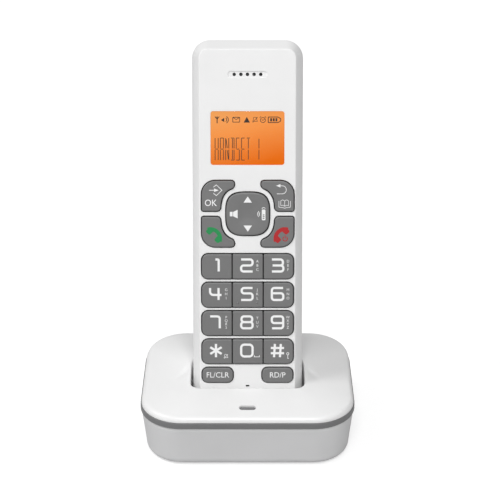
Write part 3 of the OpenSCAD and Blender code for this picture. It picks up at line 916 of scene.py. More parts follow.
# %% Paints
PRINT_WHITE = plastic("print_white", (0.82, 0.82, 0.82), 0.5, grain=0.02, edge=0)
PRINT_GREEN = plastic("print_green", (0.00492, 0.246, 0.0656), 0.5, grain=0.02, edge=0)
PRINT_RED = plastic("print_red", (0.41, 0.00656, 0.00984), 0.5, grain=0.02, edge=0)
INK_LOW, INK_TOP = PROUD - 0.08, PROUD + 0.025


# %% Pen strokes and solid shapes
def fence(points, radius, closed, low, high):
    """A low wall along a line whose turns are rounded by radius."""
    bm = bmesh.new()
    verts = [bm.verts.new((x, y, low)) for x, y in points]
    for pair in zip(verts, verts[1:] + verts[:1] if closed else verts[1:]):
        bm.edges.new(pair)
    corners = verts if closed else verts[1:-1]
    if radius and corners:
        bmesh.ops.bevel(bm, geom=corners, offset=radius, offset_type="OFFSET", affect="VERTICES", segments=6,
                        profile=0.5, material=-1, clamp_overlap=True)
    up = bmesh.ops.extrude_edge_only(bm, edges=list(bm.edges))["geom"]
    raised = [v for v in up if isinstance(v, bmesh.types.BMVert)]
    bmesh.ops.translate(bm, vec=(0, 0, high - low), verts=raised)
    bmesh.ops.recalc_face_normals(bm, faces=bm.faces)
    return bm


def solidify(bm, width):
    """Gives a fence its width, half to each side, and returns the mesh."""
    mesh = to_mesh(bm, "pen")
    wall = place_object("pen", mesh)
    pen = wall.modifiers.new("pen", "SOLIDIFY")
    pen.thickness = width
    pen.offset = 0
    pen.use_even_offset = True
    bake_modifiers(wall)
    mesh = wall.data
    bpy.data.objects.remove(wall)
    return mesh


def add(bm, mesh, material, turn=None):
    """Adds a mesh to a piece in the making, with one of the piece's materials."""
    before = len(bm.verts)
    faces_before = len(bm.faces)
    bm.from_mesh(mesh)
    bpy.data.meshes.remove(mesh)
    bm.verts.ensure_lookup_table()
    bm.faces.ensure_lookup_table()
    for face in bm.faces[faces_before:]:
        face.material_index = material
    if turn:
        bmesh.ops.transform(bm, matrix=turn, verts=bm.verts[before:])


def stroke(bm, points, width, radius=0.0, closed=False, material=1, low=INK_LOW, top=INK_TOP, turn=None):
    add(bm, solidify(fence(points, radius, closed, low, top), width), material, turn)


def shape(bm, points, radius=0.0, material=1, low=INK_LOW, top=INK_TOP, turn=None):
    """A printed patch with round corners."""
    patch = bmesh.new()
    pull(patch, panel(patch, points, [radius] * len(points), low, 4), top - low, True)
    mesh = bpy.data.meshes.new("patch")
    bmesh.ops.recalc_face_normals(patch, faces=patch.faces)
    patch.to_mesh(mesh)
    patch.free()
    add(bm, mesh, material, turn)


CAPITAL = 0.73                            # height of a capital in a font of size one


def letters(bm, text, middle, height, wide=1.0, weight=0.0, material=1, low=INK_LOW, top=INK_TOP):
    """Small print in Blender's own font, centred, with capitals of the given height."""
    curve = bpy.data.curves.new("letters", "FONT")
    curve.body = text
    curve.align_x = "CENTER"
    curve.align_y = "CENTER"
    curve.size = height / CAPITAL
    curve.extrude = (top - low) / 2
    curve.offset = weight
    curve.resolution_u = 3
    sign = place_object("letters", curve)
    bpy.context.view_layer.update()
    mesh = bpy.data.meshes.new_from_object(sign.evaluated_get(bpy.context.evaluated_depsgraph_get()))
    bpy.data.objects.remove(sign)
    bpy.data.curves.remove(curve)
    place = Matrix.Translation((middle[0], middle[1], (low + top) / 2))
    add(bm, mesh, material, place @ Matrix.Diagonal((wide, 1, 1, 1)))


# %% Digits: each is a few pen lines in a box one unit wide and one high
DIGIT_W, DIGIT_H, PEN, TURN_R = 5.0, 5.3, 0.98, 1.1
DIGITS = {
    "1": [([(0.48, 1), (0.76, 1), (0.76, 0)], 0.5, False)],
    "2": [([(0, 1), (1, 1), (1, 0.5), (0, 0.5), (0, 0), (1, 0)], TURN_R, False)],
    "3": [([(0, 1), (0.96, 1), (0.96, 0.5), (0.06, 0.5)], TURN_R, False),
          ([(0.5, 0.5), (1, 0.5), (1, 0), (0, 0)], TURN_R, False)],
    "4": [([(0, 1), (0, 0.42), (1.0, 0.42)], 1.4, False), ([(0.74, 1), (0.74, 0)], 0, False)],
    "5": [([(1, 1), (0.05, 1), (0.05, 0.55), (1, 0.55), (1, 0), (0, 0)], TURN_R, False)],
    "6": [([(0.98, 1), (0, 1), (0, 0), (1, 0), (1, 0.56), (0.08, 0.56)], TURN_R, False)],
    "7": [([(0, 1), (0.84, 1), (0.84, 0)], TURN_R, False)],
    "8": [([(0.03, 1), (0.97, 1), (0.97, 0.52), (0.03, 0.52)], TURN_R, True),
          ([(0, 0.52), (1, 0.52), (1, 0), (0, 0)], TURN_R, True)],
    "9": [([(0.02, 0), (1, 0), (1, 1), (0, 1), (0, 0.44), (0.92, 0.44)], TURN_R, False)],
    "0": [([(0, 0), (1, 0), (1, 1), (0, 1)], TURN_R + 0.3, True)],
    "#": [([(0.2, -0.06), (0.28, 1.06)], 0, False), ([(0.72, -0.06), (0.8, 1.06)], 0, False),
          ([(-0.08, 0.72), (1.08, 0.72)], 0, False), ([(-0.08, 0.28), (1.08, 0.28)], 0, False)],
    "*": [([(0.5, -0.06), (0.5, 1.06)], 0, False), ([(0.0, 0.22), (1.0, 0.78)], 0, False),
          ([(0.0, 0.78), (1.0, 0.22)], 0, False)],
}


def digit(bm, sign, middle):
    x0, y0 = middle[0] - DIGIT_W / 2, middle[1] - DIGIT_H / 2
    for n, (points, radius, closed) in enumerate(DIGITS[sign]):
        # Crossing lines differ by a hair in height, so that no two faces share a plane
        stroke(bm, [(x0 + DIGIT_W * x, y0 + DIGIT_H * y) for x, y in points], PEN, radius, closed,
               top=INK_TOP + 0.003 * n)


# %% A key cap
KEY_DEEP, KEY_RIM = 3.6, 0.42             # where a cap starts behind the face, and the rounding of its rim


def cap(bm, face, deep=KEY_DEEP, rim=KEY_RIM):
    """Raises an outline that lies deep behind the face into a cap with a rounded rim."""
    top = pull(bm, face, deep + PROUD - rim, True)
    roll(bm, top, rim, False)
    inset(bm, top, FLAT)
    return top


def key(name, bm, materials=None):
    return make(name, bm, FACE, name, materials or [KEY_GREY, PRINT_WHITE], [name])


# %% Number keys
KEYPAD = [[("key_1", "1", ""), ("key_2", "2", "ABC"), ("key_3", "3", "DEF")],
          [("key_4", "4", "GHI"), ("key_5", "5", "JKL"), ("key_6", "6", "MNO")],
          [("key_7", "7", "PQRS"), ("key_8", "8", "TUV"), ("key_9", "9", "WXYZ")],
          [("key_star", "*", ""), ("key_0", "0", ""), ("key_hash", "#", "")]]
DIGIT_X = [-13.9, -0.3, 13.15]            # middles of the three columns of digits
LETTER_X = [-9.35, 4.3, 17.7]


def number_key(row, column):
    name, sign, alphabet = KEYPAD[row][column]
    y = ROW_1 - row * ROW_PITCH
    low, high = COLUMNS[column]
    left_r = KEY_R if column == 0 else 0.55
    right_r = KEY_R if column == 2 else 0.55
    bm = bmesh.new()
    cap(bm, box_panel(bm, ((low + high) / 2, y), (high - low, KEY_H), [left_r, right_r, right_r, left_r], -KEY_DEEP))
    digit(bm, sign, (DIGIT_X[column], y + 0.5))
    pitch = 1.5 if len(alphabet) == 4 else 1.85
    for n, letter in enumerate(alphabet):
        letters(bm, letter, (LETTER_X[column], y + 0.45 + pitch * ((len(alphabet) - 1) / 2 - n)), 1.2)
    extras(bm, sign, y)
    return key(name, bm)


def bell_off(bm, x, y, size, **paint):
    """A little bell with a bar across it."""
    s = size / 2
    stroke(bm, [(x - s, y - 0.55 * s), (x - 0.6 * s, y - 0.2 * s), (x - 0.6 * s, y + 0.9 * s), (x + 0.6 * s, y + 0.9 * s),
                (x + 0.6 * s, y - 0.2 * s), (x + s, y - 0.55 * s)], 0.17 * size / 2, 0.3 * s, True, **paint)
    stroke(bm, [(x - 0.9 * s, y - s), (x + 0.9 * s, y + s)], 0.17 * size / 2, **paint)


def extras(bm, sign, y):
    """The small marks beside the star, zero and hash, and the dots that fingers find on the five."""
    if sign == "*":
        bell_off(bm, -9.5, y - 2.1, 2.0)
    if sign == "0":
        stroke(bm, [(3.0, y - 1.6), (3.0, y - 2.3), (5.2, y - 2.3), (5.2, y - 1.6)], 0.28)
    if sign == "#":
        bow = [(17.7 + 0.5 * math.cos(math.radians(a)), y - 0.9 + 0.5 * math.sin(math.radians(a)))
               for a in range(0, 360, 30)]
        stroke(bm, bow, 0.24, 0, True)
        stroke(bm, [(17.7, y - 1.4), (17.7, y - 3.0), (18.2, y - 3.0)], 0.24)
    if sign == "5":
        for x in (-4.3, 4.2):
            dot = bmesh.ops.create_uvsphere(bm, u_segments=16, v_segments=8, radius=0.42)["verts"]
            bmesh.ops.translate(bm, vec=(x, y - 3.4, PROUD), verts=dot)


number_keys = [number_key(row, column) for row in range(4) for column in range(3)]
print("number keys:", len(number_keys))

# %% [markdown]
# ## Function keys and the pad
# The keys round the pad are rounded rectangles with a bite that follows it. Their signs are drawn with the
# same pen. The pad is a circle pressed towards a square, with a hollow in the middle where the thumb rests,
# so its top is built from rings that sink a little towards the centre.


# %% Signs
def arc(x, y, r, start, end, steps=10):
    """Points along an arc, in degrees."""
    turns = [math.radians(start + (end - start) * k / steps) for k in range(steps + 1)]
    return [(x + r * math.cos(a), y + r * math.sin(a)) for a in turns]


def receiver(bm, x, y, turn, length, material):
    """A telephone receiver: a bow of thick line with an ear and a mouth at its ends."""
    place = Matrix.Translation((x, y, 0)) @ Matrix.Rotation(math.radians(turn), 4, "Z") @ Matrix.Scale(length, 4)
    flat = Matrix.Diagonal((1, 1, 1 / length, 1))
    turned = place @ flat
    stroke(bm, arc(0, -0.42, 0.55, 152, 28), 0.22, material=material, turn=turned)
    for s in (-1, 1):
        corners = [(s * 0.34 - 0.15, -0.32), (s * 0.34 + 0.15, -0.32), (s * 0.34 + 0.17, 0.02), (s * 0.34 - 0.17, 0.02)]
        shape(bm, corners, 0.08, material, top=INK_TOP + 0.004, turn=turned)


# %% Keys round the pad
def corner_key(name, sx, sy, signs, materials=None):
    bm = bmesh.new()
    cap(bm, corner_key_panel(bm, sx, sy, 0, -KEY_DEEP))
    signs(bm)
    return key(name, bm, materials=materials)


def ok_signs(bm):
    x, y = -14.4, NAV.y + 10.4
    stroke(bm, [(x - 2.3, y), (x, y)], 0.28)
    shape(bm, [(x - 0.1, y - 0.75), (x + 1.9, y), (x - 0.1, y + 0.75)], 0.08)
    chevron = [(-0.4, 1.3), (0.85, 2.35), (3.3, 0), (0.85, -2.35), (-0.4, -1.3)]
    stroke(bm, [(x + px, y + py) for px, py in chevron], 0.26)
    letters(bm, "OK", (-16.0, NAV.y + 4.75), 2.95, wide=0.9, weight=0.01)


def book_signs(bm):
    x, y = 15.0, NAV.y + 10.6
    shape(bm, [(x - 2.6, y + 1.75), (x - 0.7, y + 1.0), (x - 0.7, y + 2.5)], 0.08)
    hook = [(x - 0.9, y + 1.75)] + arc(x + 0.1, y, 1.75, 80, -90) + [(x - 2.3, y - 1.75)]
    stroke(bm, hook, 0.26)
    x, y = 16.15, NAV.y + 4.5
    for s in (-1, 1):
        stroke(bm, [(x, y + 1.2), (x + s * 0.8, y + 1.75), (x + s * 1.7, y + 1.35), (x + s * 1.7, y - 0.9),
                    (x + s * 0.8, y - 0.6), (x, y - 1.1)], 0.2, 0.3)
        stroke(bm, [(x + s * 2.5, y + 1.2), (x + s * 2.5, y - 1.5), (x + s * 0.6, y - 1.7), (x, y - 2.0)], 0.22, 0.2)
    stroke(bm, [(x, y + 1.2), (x, y - 1.1)], 0.2, top=INK_TOP + 0.003)


def talk_signs(bm):
    receiver(bm, -13.9, NAV.y - 8.5, -45, 7.7, 1)


def end_signs(bm):
    receiver(bm, 14.1, NAV.y - 8.5, 45, 7.7, 1)
    x, y = 16.4, NAV.y - 10.8
    stroke(bm, arc(x, y, 1.0, 125, 415, 16), 0.36, material=1)
    stroke(bm, [(x, y + 0.1), (x, y + 1.5)], 0.36, material=1)


corner_key("key_ok", -1, 1, ok_signs)
corner_key("key_phonebook", 1, 1, book_signs)
corner_key("key_talk", -1, -1, talk_signs, [KEY_GREY, PRINT_GREEN])
corner_key("key_end", 1, -1, end_signs, [KEY_GREY, PRINT_RED])


# %% Lower keys
def lower_key(name, side, label):
    bm = bmesh.new()
    x = side * LOWER_KEY[0]
    cap(bm, box_panel(bm, (x, LOWER_KEY[1]), (13.4, 6.5), 2.4, -KEY_DEEP))
    letters(bm, label, (x, LOWER_KEY[1]), 2.5, wide=0.97, weight=0.006)
    return key(name, bm)


lower_key("key_clear", -1, "FL/CLR")
lower_key("key_redial", 1, "RD/P")


# %% The pad
def nav_pad():
    bm = bmesh.new()
    face = nav_panel(bm, 0, -2.9)
    top = pull(bm, face, 2.9 + PROUD - 0.6, True)
    roll(bm, top, 0.6, False, 5)
    inset(bm, top, 0.1)
    # Rings that shrink towards the middle and sink into a shallow hollow
    sizes = (0.86, 0.72, 0.58, 0.45, 0.33, 0.22, 0.11)
    for n, size in enumerate(sizes):
        inset(bm, top, 0.2)
        now = max((v.co - Vector((*NAV, v.co.z))).x for v in top.verts)
        place = Matrix.Translation((*NAV, 0))
        bmesh.ops.scale(bm, vec=(NAV_HALF * size / now, NAV_HALF * size / now, 1), space=place.inverted(),
                        verts=top.verts)
        bmesh.ops.translate(bm, vec=(0, 0, (0, -0.02, -0.07, -0.11, -0.12, -0.09, -0.05)[n]), verts=top.verts)
    signs = {"low": INK_LOW, "top": INK_TOP}
    x, y = NAV
    for s in (-1, 1):
        shape(bm, [(x - 1.85, y + s * 5.0), (x + 1.85, y + s * 5.0), (x, y + s * 7.7)][::s], 0.1, **signs)
    shape(bm, [(x - 7.8, y - 1.0), (x - 6.6, y - 1.0), (x - 6.6, y + 1.0), (x - 7.8, y + 1.0)], 0.1, **signs)
    shape(bm, [(x - 6.4, y - 0.9), (x - 4.4, y - 1.9), (x - 4.4, y + 1.9), (x - 6.4, y + 0.9)], 0.1, **signs)
    for r in (0.9, 1.6):
        stroke(bm, arc(x + 5.9, y, r, 130, 230, 8), 0.3, **signs)
    shape(bm, [(x + 6.1, y - 2.7), (x + 7.7, y - 2.7), (x + 7.7, y + 2.0), (x + 6.1, y + 2.0)], 0.5, **signs)
    stroke(bm, arc(x + 6.9, y + 2.1, 0.75, 20, 160, 6), 0.26, **signs)
    for k in range(3):
        shape(bm, [(x + 6.5, y - 2.1 + k * 0.75), (x + 7.3, y - 2.1 + k * 0.75), (x + 7.3, y - 1.65 + k * 0.75),
                   (x + 6.5, y - 1.65 + k * 0.75)], 0, 0, top=INK_TOP + 0.01)
    return key("nav_pad", bm)


nav = nav_pad()
print("pad faces:", len(nav.data.polygons))

# %% [markdown]
# ## The display
# Under the clear window lies the LCD glass, lit from behind in amber: brighter at its upper left, deeper at
# its lower right. The liquid crystal shapes are dark and have a thickness of their own, so they are pen
# strokes again. Letters are made of fourteen straight segments, which leave small gaps where they meet.

# %% Amber glass
LCD_INK = plastic("lcd_ink", (0.035, 0.018, 0.008), 0.5, grain=0.0, edge=0)


def lcd_amber():
    """Backlit glass: its glow deepens down the display, broken by a faint unevenness."""
    mat, tree, shader = new_material("lcd_amber")
    coords = object_coords(tree)
    diagonal = FACE.to_3x3() @ Vector((0.25, -1, 0))
    diagonal.normalize()
    middle = FACE @ Vector((*WINDOW, 0))
    along = tree.nodes.new("ShaderNodeVectorMath")
    along.operation = "DOT_PRODUCT"
    along.inputs[1].default_value = diagonal
    tree.links.new(coords, along.inputs[0])
    half = 14 * MM
    place = tree.nodes.new("ShaderNodeMapRange")
    place.inputs["From Min"].default_value = middle.dot(diagonal) - half
    place.inputs["From Max"].default_value = middle.dot(diagonal) + half
    tree.links.new(along.outputs["Value"], place.inputs["Value"])
    uneven = noise(tree, coords, 90.0, 2.0)
    shift = tree.nodes.new("ShaderNodeMath")
    shift.operation = "MULTIPLY_ADD"
    shift.inputs[1].default_value = 0.12
    tree.links.new(uneven, shift.inputs[0])
    tree.links.new(place.outputs["Result"], shift.inputs[2])
    ramp = tree.nodes.new("ShaderNodeValToRGB")
    ramp.color_ramp.elements[0].color = (0.95, 0.40, 0.12, 1)
    ramp.color_ramp.elements[1].color = (0.84, 0.15, 0.0, 1)
    middle_stop = ramp.color_ramp.elements.new(0.42)
    middle_stop.color = (0.97, 0.32, 0.07, 1)
    tree.links.new(shift.outputs["Value"], ramp.inputs["Fac"])
    tree.links.new(ramp.outputs["Color"], shader.inputs["Emission Color"])
    dim = tree.nodes.new("ShaderNodeMix")
    dim.data_type = "RGBA"
    dim.inputs["Factor"].default_value = 0.95
    dim.inputs["B"].default_value = (0.03, 0.012, 0.004, 1)
    tree.links.new(ramp.outputs["Color"], dim.inputs["A"])
    tree.links.new(dim.outputs["Result"], shader.inputs["Base Color"])
    shader.inputs["Emission Strength"].default_value = 0.95
    shader.inputs["Specular IOR Level"].default_value = 0.05
    shader.inputs["Roughness"].default_value = 0.5
    return mat


def clear_plastic():
    """The window: clear acrylic, its gloss softened by faint handling marks."""
    mat, tree, shader = new_material("clear_acrylic")
    shader.inputs["Alpha"].default_value = 0.04
    coords = object_coords(tree)
    marks = noise(tree, coords, 260.0, 3.0)
    gloss = tree.nodes.new("ShaderNodeMapRange")
    gloss.inputs["To Min"].default_value = 0.0
    gloss.inputs["To Max"].default_value = 0.05
    tree.links.new(marks, gloss.inputs["Value"])
    tree.links.new(gloss.outputs["Result"], shader.inputs["Roughness"])
    tint = tree.nodes.new("ShaderNodeMix")
    tint.data_type = "RGBA"
    tint.inputs["A"].default_value = (0.05, 0.04, 0.03, 1)
    tint.inputs["B"].default_value = (0.10, 0.08, 0.06, 1)
    tree.links.new(marks, tint.inputs["Factor"])
    tree.links.new(tint.outputs["Result"], shader.inputs["Base Color"])
    return mat


LCD_AMBER = lcd_amber()
CLEAR = clear_plastic()

# %% Segment letters
SEGMENTS = {
    "a": [(0, 1), (1, 1)], "b": [(1, 1), (1, 0.53)], "c": [(1, 0.47), (1, 0)], "d": [(0, 0), (1, 0)],
    "e": [(0, 0.47), (0, 0)], "f": [(0, 1), (0, 0.53)], "g": [(0.06, 0.5), (0.94, 0.5)],
    "h": [(0.15, 0.95), (0.5, 0.55)], "i": [(0.5, 0.97), (0.5, 0.53)], "l": [(0.5, 0.47), (0.5, 0.03)],
    "m": [(0.5, 0.45), (0.85, 0.05)],
}
LETTER_SEGMENTS = {"H": "bcefg", "A": "abcefg", "N": "bcefhm", "D": "abcdil", "S": "afgcd", "E": "adefg",
                   "T": "ail", "1": "il", " ": ""}
LCD_DEPTH = 2.95
LCD_TOP = -LCD_DEPTH + 0.03


def lcd_letters(bm, text, left, low, size, pitch, pen):
    for n, letter in enumerate(text):
        for k, name in enumerate(LETTER_SEGMENTS[letter]):
            line = [(left + n * pitch + size[0] * x, low + size[1] * y) for x, y in SEGMENTS[name]]
            stroke(bm, line, pen, material=1, low=-LCD_DEPTH - 0.05, top=LCD_TOP + 0.002 * k)


def lcd_icons(bm, y):
    """The row of state icons: antenna, speaker, envelope, menu arrow, bell, alarm clock and battery."""
    paint = {"material": 1, "low": -LCD_DEPTH - 0.05}
    raised = LCD_TOP + 0.004
    stroke(bm, [(-13.2, y - 1.5), (-13.2, y + 1.5)], 0.42, top=LCD_TOP, **paint)
    stroke(bm, [(-14.1, y + 1.4), (-13.2, y + 0.3), (-12.3, y + 1.4)], 0.36, top=raised, **paint)
    shape(bm, [(-11.5, y - 0.1), (-10.1, y - 1.0), (-10.1, y + 0.9)], 0.05, top=LCD_TOP, **paint)
    for r in (0.9, 1.6):
        stroke(bm, arc(-9.9, y, r, -62, 62, 8), 0.3, top=LCD_TOP, **paint)
    stroke(bm, [(-6.4, y - 1.0), (-3.4, y - 1.0), (-3.4, y + 1.1), (-6.4, y + 1.1)], 0.3, 0.2, True, top=LCD_TOP,
           **paint)
    stroke(bm, [(-6.3, y + 1.0), (-4.9, y + 0.1), (-3.5, y + 1.0)], 0.26, top=raised, **paint)
    shape(bm, [(-1.7, y - 1.2), (1.1, y - 1.2), (-0.3, y + 1.3)], 0.05, top=LCD_TOP, **paint)
    bell_off(bm, 3.3, y, 2.4, top=raised, **paint)
    stroke(bm, arc(6.7, y - 0.1, 1.1, 0, 330, 11), 0.28, 0, True, top=LCD_TOP, **paint)
    stroke(bm, [(6.2, y + 0.2), (6.7, y - 0.3), (7.4, y + 0.3)], 0.24, top=raised, **paint)
    for s in (-1, 1):
        stroke(bm, [(6.7 + s * 0.8, y + 1.5), (6.7 + s * 1.4, y + 0.9)], 0.26, top=raised, **paint)
    cell = [(9.0, -1.2), (13.2, -1.2), (14.4, -0.5), (14.4, 0.5), (13.2, 1.2), (9.0, 1.2)]
    stroke(bm, [(x, y + up) for x, up in cell], 0.36, 0.2, True, top=LCD_TOP, **paint)
    for k in range(3):
        x = 9.85 + 1.15 * k
        shape(bm, [(x, y - 0.7), (x + 0.8, y - 0.7), (x + 0.8, y + 0.7), (x, y + 0.7)], 0.05, top=LCD_TOP, **paint)


# %% LCD and window
def lcd_panel():
    bm = bmesh.new()
    face = box_panel(bm, WINDOW, (37, 28), 0.5, -LCD_DEPTH - 1.6)
    top = pull(bm, face, 1.5, True)
    roll(bm, top, 0.1, False, 2)
    lcd_icons(bm, SUNK + 117.6)
    lcd_letters(bm, "HANDSET 1", -14.1, SUNK + 100.1, (1.35, 9.6), 2.3, 0.32)
    return make("lcd_panel", bm, FACE, "handset", [LCD_AMBER, LCD_INK], ["lcd_panel"])


def display_window():
    """A clear plate with a flange behind the shell, and its front edge just broken."""
    bm = bmesh.new()
    face = box_panel(bm, WINDOW, (WINDOW_SIZE[0] + 3, WINDOW_SIZE[1] + 3), 2.5, -2.8)
    top = pull(bm, face, 0.8, True)
    inset(bm, top, 1.5)
    top = pull(bm, top, 1.65)
    roll(bm, top, 0.15, False, 2)
    inset(bm, top, FLAT)
    return make("display_window", bm, FACE, "handset", [CLEAR], ["display_window"])


lcd = lcd_panel()
window = display_window()
print("display faces:", len(lcd.data.polygons) + len(window.data.polygons))

# %% [markdown]
# ## Details of the base
# The lamp is a grey translucent pill in the front of the top. The tub's back carries two modular sockets
# and the paging button, and its underside the screw wells and four rubber feet. Their holes are milled with
# Booleans whose cutters are the same rounded outlines, so that each hole keeps an even gap to what sits in
# it.

# %% Places on the base
LED_Y, LED_W, LED_D = -30.0, 7.1, 2.4
SOCKETS = {"line_socket": (5.0, 4), "power_socket": (21.5, 2)}
SOCKET_Y, SOCKET_Z = 34.6, 11.5
PAGE_X, PAGE_Z, PAGE_R = -14.0, 13.0, 4.0
PAGE_Y = 36.6
BASE_SCREW, FOOT = (38.0, 12.0), (33.0, 24.0)
FOOT_R = 4.5
CORNERS = [(sx, sy) for sx in (-1, 1) for sy in (-1, 1)]


def base_tool(name, bm, place=BASE):
    return make(name, bm, place, None, [])


# %% Holes in the top shell
def lamp_hole():
    """A pill-shaped hole, cut from above."""
    bm = bmesh.new()
    pull(bm, pill_panel(bm, (0, LED_Y), (LED_W + 0.2, LED_D + 0.2), 22, 40), 12, True)
    return base_tool("lamp_hole", bm)


def pin_holes():
    bm = bmesh.new()
    for s in (-1, 1):
        rod(bm, (s * PAD_X, PAD_DEPTH, -4), 1.6, 8)
    return base_tool("pin_holes", bm, HANDSET)


carve(top_shell, lamp_hole(), smooth=50)
carve(top_shell, pin_holes(), smooth=50)


# %% Holes in the tub
def back_holes():
    bm = bmesh.new()
    for x, wires in SOCKETS.values():
        prism(bm, box_panel(bm, (-x, SOCKET_Z), (13.6, 12.2), 0.3), -40, -21.5)
    pull(bm, disc_panel(bm, (-PAGE_X, PAGE_Z), PAGE_R + 0.3, 28), 12, True)
    return base_tool("back_holes", bm, BACK)


def floor_holes():
    bm = bmesh.new()
    for sx, sy in CORNERS:
        rod(bm, (sx * BASE_SCREW[0], sy * BASE_SCREW[1], -1), 2.8, 2.9, 40)
        rod(bm, (sx * FOOT[0], sy * FOOT[1], -1), FOOT_R + 0.1, 2.6, 48)
    return base_tool("floor_holes", bm)


carve(tub, back_holes(), smooth=40)
carve(tub, floor_holes(), smooth=40)


# %% Small parts of the base
SOCKET_BLACK = plastic("socket_black", (0.02, 0.02, 0.02), 0.45, edge=0.06)
FOOT_RUBBER = plastic("foot_rubber", (0.035, 0.035, 0.036), 0.75, grain=0.25, edge=0.03, grain_scale=1500.0)
LENS = plastic("lamp_lens", (0.16, 0.16, 0.165), 0.25, grain=0.0, edge=0.05)


def lamp_lens():
    """The lens: a pill that fits its hole, with a soft top and a flange below."""
    bm = bmesh.new()
    top = pull(bm, pill_panel(bm, (0, LED_Y), (LED_W + 2, LED_D + 2), 7.6, 40), 1.5, True)
    inset(bm, top, 1.0)
    top = pull(bm, top, 27.15 - 7.6 - 1.5 - 0.3)
    roll(bm, top, 0.3, False)
    inset(bm, top, FLAT)
    return make("light_pipe", bm, BASE, "base", [LENS], ["light_pipe"])


def rubber_feet():
    """Four discs with rounded rims and a ring groove, drawn upside down."""
    bm = bmesh.new()
    for sx, sy in CORNERS:
        top = pull(bm, disc_panel(bm, (sx * FOOT[0], sy * FOOT[1]), FOOT_R, -1.55), 1.25, True)
        roll(bm, top, 0.3, False)
        inset(bm, top, 0.8)
        inset(bm, top, 0.15, -0.15)
        inset(bm, top, 0.4)
        inset(bm, top, 0.15, 0.15)
    upside_down = BASE @ Matrix.Rotation(math.radians(180), 4, "X")
    return make("rubber_feet", bm, upside_down, "base", [FOOT_RUBBER], ["rubber_feet"])


def page_button():
    """A round cap, dished for a fingertip, with three printed waves."""
    bm = bmesh.new()
    back = PAGE_Y - 5
    top = pull(bm, disc_panel(bm, (-PAGE_X, PAGE_Z), PAGE_R + 1, back, 64), 1, True)
    inset(bm, top, 1)
    top = pull(bm, top, 3.5)
    roll(bm, top, 0.5, False)
    inset(bm, top, 0.5)
    for down in (0.04, 0.08, 0.1, 0.08, 0.04):
        inset(bm, top, 0.5, -down)
    for n, r in enumerate((0.7, 1.4, 2.1)):
        stroke(bm, arc(-PAGE_X - 0.9, PAGE_Z, r, -50, 50, 8), 0.32, low=PAGE_Y - 0.6, top=PAGE_Y - 0.2 + 0.03 * n)
    return make("page_button", bm, BACK, "page_button", [KEY_GREY, PRINT_WHITE], ["page_button"])


lamp_lens()
rubber_feet()
page_button()

# %% [markdown]
# ## Sockets
# A modular socket is a block with a stepped cavity for the plug and its latch. The face and the cavity are
# two outlines joined by a triangle fill, and the gilded wires slant across the cavity where the plug
# presses on them.

# %% Metals
def metal(name, colour, rough, scratch_scale=900.0):
    """Plated metal whose gloss is broken by fine scratches."""
    mat, tree, shader = new_material(name)
    shader.inputs["Metallic"].default_value = 1.0
    coords = object_coords(tree)
    stretched = tree.nodes.new("ShaderNodeMapping")
    stretched.inputs["Scale"].default_value = (1, 1, 6)
    tree.links.new(coords, stretched.inputs["Vector"])
    scratches = noise(tree, stretched.outputs["Vector"], scratch_scale, 4.0, 0.7)
    tone = tree.nodes.new("ShaderNodeMix")
    tone.data_type = "RGBA"
    tone.inputs["A"].default_value = (*[c * 0.9 for c in colour], 1)
    tone.inputs["B"].default_value = (*colour, 1)
    tree.links.new(scratches, tone.inputs["Factor"])
    tree.links.new(tone.outputs["Result"], shader.inputs["Base Color"])
    gloss = tree.nodes.new("ShaderNodeMapRange")
    gloss.inputs["To Min"].default_value = rough * 0.7
    gloss.inputs["To Max"].default_value = rough * 1.4
    tree.links.new(scratches, gloss.inputs["Value"])
    tree.links.new(gloss.outputs["Result"], shader.inputs["Roughness"])
    return mat


STEEL = metal("plated_steel", (0.62, 0.62, 0.6), 0.28)
GOLD = metal("contact_gold", (0.86, 0.62, 0.24), 0.25)


# %% Sockets
def socket(name):
    x, wires = SOCKETS[name]
    bm = bmesh.new()
    steps = [(-4.9, 3.6), (-4.9, -3.4), (-3.1, -3.4), (-3.1, -4.6), (-1.6, -4.6), (-1.6, -5.2),
             (1.6, -5.2), (1.6, -4.6), (3.1, -4.6), (3.1, -3.4), (4.9, -3.4), (4.9, 3.6)]
    frame_face = box_panel(bm, (-x, SOCKET_Z), (13.4, 12), 0.3, SOCKET_Y - 13, 3)
    front = pull(bm, frame_face, 12.85, True)
    inset(bm, front, 0.15, 0.15)
    edges = list(front.edges)
    bmesh.ops.delete(bm, geom=[front], context="FACES_ONLY")
    cavity = panel(bm, [(-x + px, SOCKET_Z + py) for px, py in steps], [0] * len(steps), SOCKET_Y)
    edges += inset(bm, cavity, 0.12, -0.12)
    pull(bm, cavity, -9.8)
    fill(bm, edges, 1)
    for k in range(wires):
        wire = block(bm, (-0.2, -0.2, 0), (0.2, 0.2, 8.6))
        way = Matrix.Translation((-x + (k - (wires - 1) / 2) * 1.25, SOCKET_Z + 3.3, SOCKET_Y - 1.6))
        bmesh.ops.transform(bm, matrix=way @ Matrix.Rotation(math.radians(180 - 28), 4, "X"), verts=wire)
        for face in {f for v in wire for f in v.link_faces}:
            face.material_index = 1
    return make(name, bm, BACK, "base", [SOCKET_BLACK, GOLD], [name])


sockets = [socket(name) for name in SOCKETS]
print("sockets:", len(sockets))

# %% [markdown]
# ## Inside the handset
# With the door off, the battery bay shows two sleeved cells, their springs and their plates. The cells are
# turned on a lathe: a profile is spun round the cell's axis. A spring is a curve, points laid along a helix
# that narrows, with a round section that follows it, made into a mesh.

# %% Cells
CELL_R, CELL_L, CELL_X, CELL_DEPTH, CELL_LOW = 5.25, 44.5, 5.6, 16.6, 46.6
SLEEVE = plastic("cell_sleeve", (0.05, 0.30, 0.10), 0.35, grain=0.02, edge=0.05)
SLEEVE_DARK = plastic("cell_band", (0.03, 0.03, 0.03), 0.35, grain=0.02, edge=0.05)


